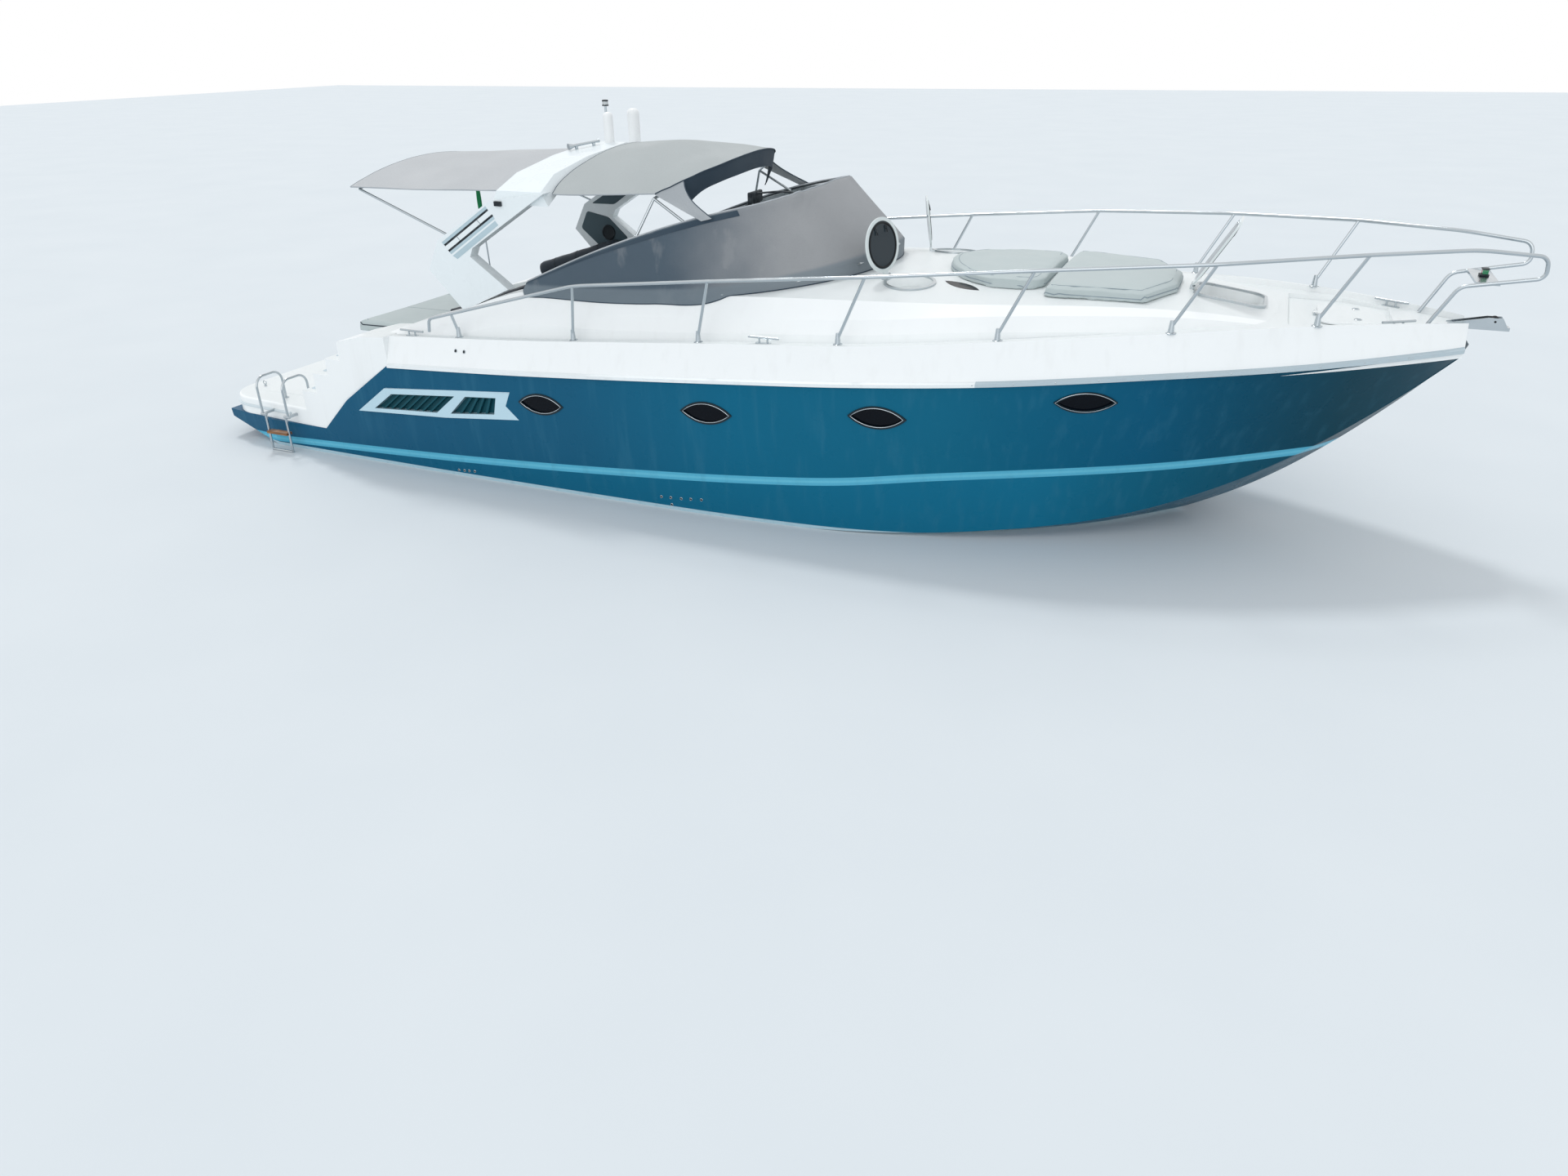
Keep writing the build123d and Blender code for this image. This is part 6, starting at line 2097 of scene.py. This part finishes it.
@dataclass
class ArchFittings:
    """Arch with its slots, lamps, speakers, mast and domes."""

    # Slots in the legs: x and z corner by corner
    slots: tuple = (
        ((-2.85, 2.235), (-2.29, 2.588), (-2.262, 2.55), (-2.815, 2.2)),
        ((-2.79, 2.165), (-2.225, 2.52), (-2.2, 2.48), (-2.755, 2.13)),
    )
    # Trim panels on the inner faces: x and z corner by corner
    panels: tuple = (
        ((-2.8, 2.26), (-2.3, 2.55), (-2.04, 2.56), (-2.5, 2.262)),
        ((-2.965, 1.985), (-2.87, 2.175), (-2.59, 2.12), (-2.35, 1.9), (-2.65, 1.72)),
    )
    # Pale trim panel below the slots: x and z corner by corner
    outer_panel: tuple = ((-2.74, 2.118), (-2.2, 2.462), (-2.17, 2.425), (-2.69, 2.09))
    # Ties across the land between the slots, as shares of its length, and a bar's share of its slot
    ties: tuple = (0.28, 0.74)
    bar_share: float = 0.42
    inner_y: float = 1.25
    face_y: float = 1.37
    slot_depth: float = 0.014
    # Trim panel's thickness and the round of its edges
    plate: float = 0.004
    mast: tuple = (-1.83, 0.12)
    # The masthead lamp's glass, and the two parts of its collar: radius, height
    lamp_glass: tuple = ((0.029, 0.008), (0.03, 0.012), (0.03, 0.034), (0.029, 0.038))
    lamp_collar: tuple = (
        ((0.0305, -0.004), (0.032, -0.002), (0.032, 0.006), (0.03, 0.008)),
        ((0.03, 0.038), (0.0315, 0.042), (0.03, 0.05), (0.016, 0.0525), (0.004, 0.053)),
    )
    # Side lamp: x, z, and half its length, thickness and height
    side_lamp: tuple = (-2.14, 2.615)
    side_lamp_half: tuple = (0.04, 0.01, 0.022)
    speaker_at: tuple = (-2.6, 0.0, 1.95)
    # Speaker and horn: radius, height
    speaker: tuple = (
        (0.085, -0.002), (0.085, 0.008), (0.075, 0.014), (0.07, 0.008), (0.03, 0.003), (0.01, 0.006),
    )
    horn_form: tuple = ((0.03, 0), (0.028, 0.01), (0.014, 0.06), (0.012, 0.3), (0.018, 0.34))
    # Where the horn starts and ends: x, y; and its two feet, as shares of its length
    horn: tuple = ((-1.95, -0.42), (-1.78, -0.12))
    horn_up: float = 0.035
    horn_feet: tuple = (0.25, 0.8)

    def build(self) -> None:
        """Dress the arch's nodes and add its fittings."""
        dress(ARCH_WHITE, "arch")
        dress(POLISHED, "canopy_frame", "mast")
        dress(DOME_WHITE, "domes")
        self._slots()
        self._panels()
        self._lamps()
        self._speakers()
        self._horn()

    def _plates(self, outlines: list, back: float, proud: float) -> Mesh:
        """Give plates on the outer faces of both legs.

        Args:
            outlines: Corners of each plate: x, z.
            back: How far in from the face each one starts.
            proud: How far it stands from where it starts.

        Returns:
            The mesh.
        """
        parts = []
        for outline in outlines:
            corners = [Vector((x, back - self.face_y, z)) for x, z in outline]
            parts.append(prism(corners, -PORT * proud, 0.0008))
        return both_sides(parts)

    def _slots(self) -> None:
        """Fill the slots with pale strips and dark bars, and tie the land between them."""
        bars, strips, ties = [], [], []
        for row, share in zip(self.slots, (1 - self.bar_share, self.bar_share)):
            first, second, third, fourth = (Vector(corner) for corner in row)
            left, right = first.lerp(fourth, share), second.lerp(third, share)
            halves = [(first, second, right, left), (left, right, third, fourth)]
            bars.append(halves[share > 0.5])
            strips.append(halves[share < 0.5])
        (_, _, c, d), (a, b, _, _) = self.slots
        for share in self.ties:
            ends = [Vector(start).lerp(Vector(end), share) for start, end in ((d, c), (a, b))]
            ties.append(tube([Vector((spot.x, -self.face_y, spot.y)) for spot in ends], 0.0022))
        for name, lot, back, proud, finish in (
            ("slot_bars", bars, self.slot_depth, self.slot_depth - 0.003, DARK_TRIM),
            ("slot_strips", strips, self.slot_depth, self.slot_depth - 0.001, ARCH_TRIM),
            ("outer_panels", [self.outer_panel], 0.001, 0.003, ARCH_TRIM),
        ):
            piece(f"arch_{name}", self._plates(lot, back, proud), finish)
        piece("arch_ties", both_sides(ties), SLATE_TRIM)

    def _panels(self) -> None:
        """Lay dark trim panels on the inner faces of the legs."""
        parts = []
        for panel in self.panels:
            outline = [Vector((x, -self.inner_y, z)) for x, z in rounded(list(panel), 0.03, 4)]
            parts.append(prism(outline, PORT * self.plate, 0.001))
        piece("arch_inner_panels", both_sides(parts), SLATE_TRIM)

    def _lamps(self) -> None:
        """Put the masthead lamp's collar and cap, and a side lamp on each leg."""
        foot = Vector((*self.mast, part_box("mast")[1].z - 0.05))
        collar = joined([revolve(form, foot, UP, 24) for form in self.lamp_collar])
        piece("mast_lamp_glass", revolve(self.lamp_glass, foot, UP, 24), LAMP_GLASS)
        piece("mast_lamp_collar", collar, DARK_TRIM)
        probe = Probe.of("arch")
        for side in Side:
            spot = probe.inboard(*self.side_lamp, side)[0]
            lamp = centred(spot + PORT * side.value * self.side_lamp_half[1], self.side_lamp_half, 0.006)
            piece(f"side_lamp_{side.name.lower()}", lamp, DARK_TRIM)

    def _speakers(self) -> None:
        """Set a speaker on the inner face of each leg."""
        probe = Probe.of("arch")
        parts = []
        for side in Side:
            way = PORT * side.value
            found = probe.cast(Vector(self.speaker_at), way)
            if found:
                parts.append(revolve(self.speaker, found[0] - way * 0.004, -way, 28))
        piece("arch_speakers", joined(parts), DARK_TRIM)

    def _horn(self) -> None:
        """Lay the twin horn on the beam."""
        probe = Probe.of("arch")
        start, end = (probe.down(*spot) + UP * self.horn_up for spot in self.horn)
        parts = [revolve(self.horn_form, start, end - start)]
        for share in self.horn_feet:
            parts.append(centred(start.lerp(end, share) - UP * 0.0225, (0.012, 0.012, 0.0145), 0.003))
        piece("arch_horn", joined(parts), POLISHED)


@dataclass
class Stern:
    """Platform edge, boarding ladder and flag."""

    edge_z: float = 0.395
    edge_r: float = 0.016
    # Rays that find the platform's edge start on a ring about a place, and count only aft of the limit
    ring_x: float = -4.7
    ring_r: float = 4.0
    aim_x: float = -5.0
    edge_limit: float = -4.72
    eye_at: tuple = (-5.77, 1.2)
    eye_r: float = 0.022
    # Turned parts: radius, height
    eye_foot: tuple = ((0.02, -0.002), (0.02, 0.004), (0.012, 0.008), (0.01, 0.03))
    socket: tuple = ((0.03, -0.004), (0.03, 0.006), (0.017, 0.012), (0.016, 0.07), (0.013, 0.072))
    finial: tuple = ((0.006, -0.006), (0.016, 0.0), (0.018, 0.012), (0.01, 0.024), (0.003, 0.027))
    # Foot and head of the flag's staff: x, y; and its head's height
    staff: tuple = ((-4.24, 1.14), (-4.31, 1.16))
    staff_top: float = 2.42
    staff_r: float = 0.0095
    # Where the rolled flag starts and ends, as shares of the staff from its head, and its turns
    furl: tuple = (0.04, 0.38)
    turns: float = 2.2
    # The roll's inner radius, what it gains, and the depth of its folds
    roll: tuple = (0.012, 0.016, 0.004)

    def build(self) -> None:
        """Dress the ladder and add the platform's strip and eyes, and the flag."""
        dress(POLISHED, "ladder_handles", "swim_ladder")
        dress(TEAK, "ladder_tread")
        self._strip()
        self._eyes()
        self._ensign()

    def _strip(self) -> None:
        """Run a rubbing strip round the platform's edge."""
        probe = Probe.of("swim_platform")
        line = []
        for k in range(97):
            turn = pi * (k / 96 - 0.5)
            start = Vector((self.ring_x - self.ring_r * cos(turn), self.ring_r * sin(turn), self.edge_z))
            found = probe.cast(start, Vector((self.aim_x, start.y * 0.3, self.edge_z)) - start)
            if found and found[0].x < self.edge_limit:
                line.append(found[0] + found[1] * 0.002)
        piece("platform_strip", tube(line, self.edge_r, 10), PALE_RUBBER)

    def _eyes(self) -> None:
        """Set an eye on each side of the platform."""
        x, y = self.eye_at
        parts = []
        for side in Side:
            foot = Vector((x, side.value * y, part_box("swim_platform")[1].z - 0.004))
            loop = circle(foot + UP * 0.042, FORWARD * self.eye_r, UP * self.eye_r, 20)
            parts += [revolve(self.eye_foot, foot, UP, 16), tube(loop, 0.005, ends=Ends.CLOSED)]
        piece("platform_eyes", joined(parts), POLISHED)

    def _ensign(self) -> None:
        """Stand the staff on the port quarter with its flag rolled round it."""
        foot, head = Probe.of("deck").down(*self.staff[0], 2.3), Vector((*self.staff[1], self.staff_top))
        parts = [
            revolve(self.socket, foot, head - foot), tube([foot, head], self.staff_r, 10),
            revolve(self.finial, head, head - foot, 16),
        ]
        piece("ensign_staff", joined(parts), POLISHED)
        start, end = self.furl
        inner, gain, fold = self.roll
        rows = []
        for row in range(31):
            share = row / 30
            middle = head.lerp(foot, start + (end - start) * share)
            line = []
            for k in range(45):
                turn = self.turns * tau * k / 44
                radius = inner + gain * (k / 44) * sin(pi * min(1, 0.12 + share)) ** 0.5
                radius += fold * sin(3 * turn + 5 * share)
                line.append(middle + radius * Vector((cos(turn), sin(turn), 0)))
            rows.append(line)
        made = piece("ensign_cloth", cloth(rows, 0.0008), FLAG_CLOTH, crease=75.0)
        flat = spans(rows)[0], length_of([row[-1] for row in rows])
        cut_area(rows, flat)


@dataclass
class RunningGear:
    """Propellers, rudders, brackets and trim tabs under the hull."""

    # A shaft's collar: radius, height
    anode: tuple = ((0.0195, 0), (0.03, 0.012), (0.03, 0.05), (0.0195, 0.062))
    anode_at: tuple = (-3.9, 0.62)
    # The shaft's slope in degrees, and a height on it and how far fore of the collar that is
    slope: float = 10.0
    shaft_z: float = -0.76
    shaft_run: float = 0.72

    def build(self) -> None:
        """Dress the metal under the water and add the shaft anodes."""
        dress(BRONZE, "propeller_starboard", "propeller_port", "shaft_brackets")
        dress(BRUSHED, "rudder_starboard", "rudder_port", "trim_tab_starboard", "trim_tab_port", "tab_hinges")
        slope = tan(radians(self.slope))
        x, y = self.anode_at
        for side in Side:
            name = side.name.lower()
            foot = Vector((x, side.value * y, self.shaft_z + self.shaft_run * slope))
            collar = revolve(self.anode, foot, Vector((1, 0, slope)))
            piece(f"shaft_anode_{name}", collar, BRUSHED, body=f"propeller_{name}")


@dataclass
class Studio:
    """Camera, floor and light."""

    place: tuple = (4.328, -10.015, 3.975)
    pitch: float = 27.005
    roll: float = -0.7455
    heading: float = 23.0418
    lens: float = 24.994
    sensor: float = 36.0
    far: float = 500.0
    floor_size: float = 160.0
    floor_shades: tuple = (shade("d2d9dd"), shade("d9dfe2"))
    # Lamps: name, strength, spread in degrees, way that the light goes
    lamps: tuple = (("sun", 0.85, 9.0, (0.35, -0.35, -0.87)), ("fill", 0.6, 60.0, (-0.15, 0.93, -0.34)))
    sky: float = 0.86
    sky_colour: Colour = shade("f8fbff")

    def build(self) -> None:
        """Set the camera, the floor, the lamp and the world."""
        self._camera()
        self._floor()
        self._light()
        bpy.context.scene.view_settings.view_transform = "Standard"

    def _camera(self) -> None:
        """Aim the camera as the photograph was taken."""
        aim = Matrix.Translation(self.place)
        for angle, axis in ((self.heading, "Z"), (90.0 - self.pitch, "X"), (self.roll, "Z")):
            aim = aim @ Matrix.Rotation(radians(angle), 4, axis)
        data = bpy.data.cameras.new("camera")
        data.lens = self.lens
        data.sensor_width = self.sensor
        data.clip_end = self.far
        camera = place_in_scene("camera", data)
        camera.matrix_world = aim
        bpy.context.scene.camera = camera

    def _white(self, tree: Tree) -> Socket:
        """Give a mask of the rays that see the backdrop directly or by reflection.

        Args:
            tree: The world's tree.

        Returns:
            The mask.
        """
        rays = tree.put("ShaderNodeLightPath").outputs
        seen = tree.math("MAXIMUM", rays["Is Camera Ray"], rays["Is Glossy Ray"])
        return tree.math("MAXIMUM", seen, rays["Is Transmission Ray"])

    def _floor(self) -> None:
        """Lay a pale floor at the waterline."""
        half = self.floor_size / 2
        corners = [Vector((x, y, 0.0)) for x, y in oblong((-half, -half), (half, half))]
        floor = place_in_scene("floor", new_mesh("floor", (corners, [(0, 1, 2, 3)])))
        material = bpy.data.materials.new("floor_matte")
        material.use_nodes = True
        material.node_tree.nodes.clear()
        tree = Tree(material.node_tree)
        colour = tree.blend(tree.noise(0.6, 3.0), *self.floor_shades)
        shader = tree.put("ShaderNodeBsdfPrincipled", {"Base Color": colour, "Roughness": 0.9})
        tree.put("ShaderNodeOutputMaterial", {"Surface": shader.outputs[0]})
        floor.data.materials.append(material)

    def _light(self) -> None:
        """Set a broad sun from port aft, a soft fill from starboard and an even sky."""
        for name, strength, spread, way in self.lamps:
            data = bpy.data.lights.new(name, "SUN")
            data.energy = strength
            data.angle = radians(spread)
            lamp = place_in_scene(name, data)
            lamp.rotation_mode = "QUATERNION"
            lamp.rotation_quaternion = Vector(way).to_track_quat("-Z", "Y")
        world = bpy.data.worlds.new("sky")
        world.use_nodes = True
        world.node_tree.nodes.clear()
        tree = Tree(world.node_tree)
        soft = tree.put("ShaderNodeBackground", {"Color": self.sky_colour, "Strength": self.sky})
        white = tree.put("ShaderNodeBackground", {"Color": (1.0, 1.0, 1.0), "Strength": 1.0})
        mix = tree.put("ShaderNodeMixShader", {0: self._white(tree), 1: soft.outputs[0], 2: white.outputs[0]})
        tree.put("ShaderNodeOutputWorld", {"Surface": mix.outputs[0]})
        bpy.context.scene.world = world


def main() -> None:
    """Build every sub-assembly in order."""
    logging.basicConfig(level=logging.INFO, format="%(name)s %(message)s")
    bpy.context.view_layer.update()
    Studio().build()
    HullSides().build()
    DeckFittings().build()
    for name, size, power in (
        ("starboard", (0.46, 0.46), 2.0), ("port", (0.46, 0.46), 2.0), ("fore", (0.6, 0.56), 4.0),
    ):
        Hatch(name, size, power).build()
    shop, sunpads, cockpit = Upholstery(), Sunpads(), Cockpit()
    sunpads.add_to(shop)
    cockpit.add_to(shop)
    shop.inflate()
    sunpads.finish()
    cockpit.build()
    Windscreen().build()
    Canopy("aft_canopy", AFT_CANVAS,
           ((-3.92, 1.29, 2.69, 2.88), (-3.0, 1.3, 2.7, 2.93), (-2.16, 1.26, 2.715, 2.96)),
           ((0.0, -3.92), (1.29, -3.92)), ((0.0, -1.985), (0.6, -2.075), (1.05, -2.17), (1.26, -2.175)),
           (-3.86, -2.1)).build()
    fore = Canopy("fore_canopy", FORE_CANVAS,
                  ((-1.56, 1.23, 2.7, 3.03), (-1.0, 1.22, 2.72, 3.075), (-0.42, 1.13, 2.74, 3.04),
                   (-0.08, 1.06, 2.752, 3.008)),
                  ((0.0, -1.5), (0.6, -1.565), (1.05, -1.645), (1.23, -1.64)),
                  ((0.0, -0.1), (0.3, -0.129), (0.6, -0.22), (0.9, -0.385), (1.06, -0.514), (1.165, -0.62)),
                  (-1.6, -0.3))
    fore.build()
    Curtains(fore).build()
    ArchFittings().build()
    Stern().build()
    RunningGear().build()


if __name__ == "__main__":
    main()
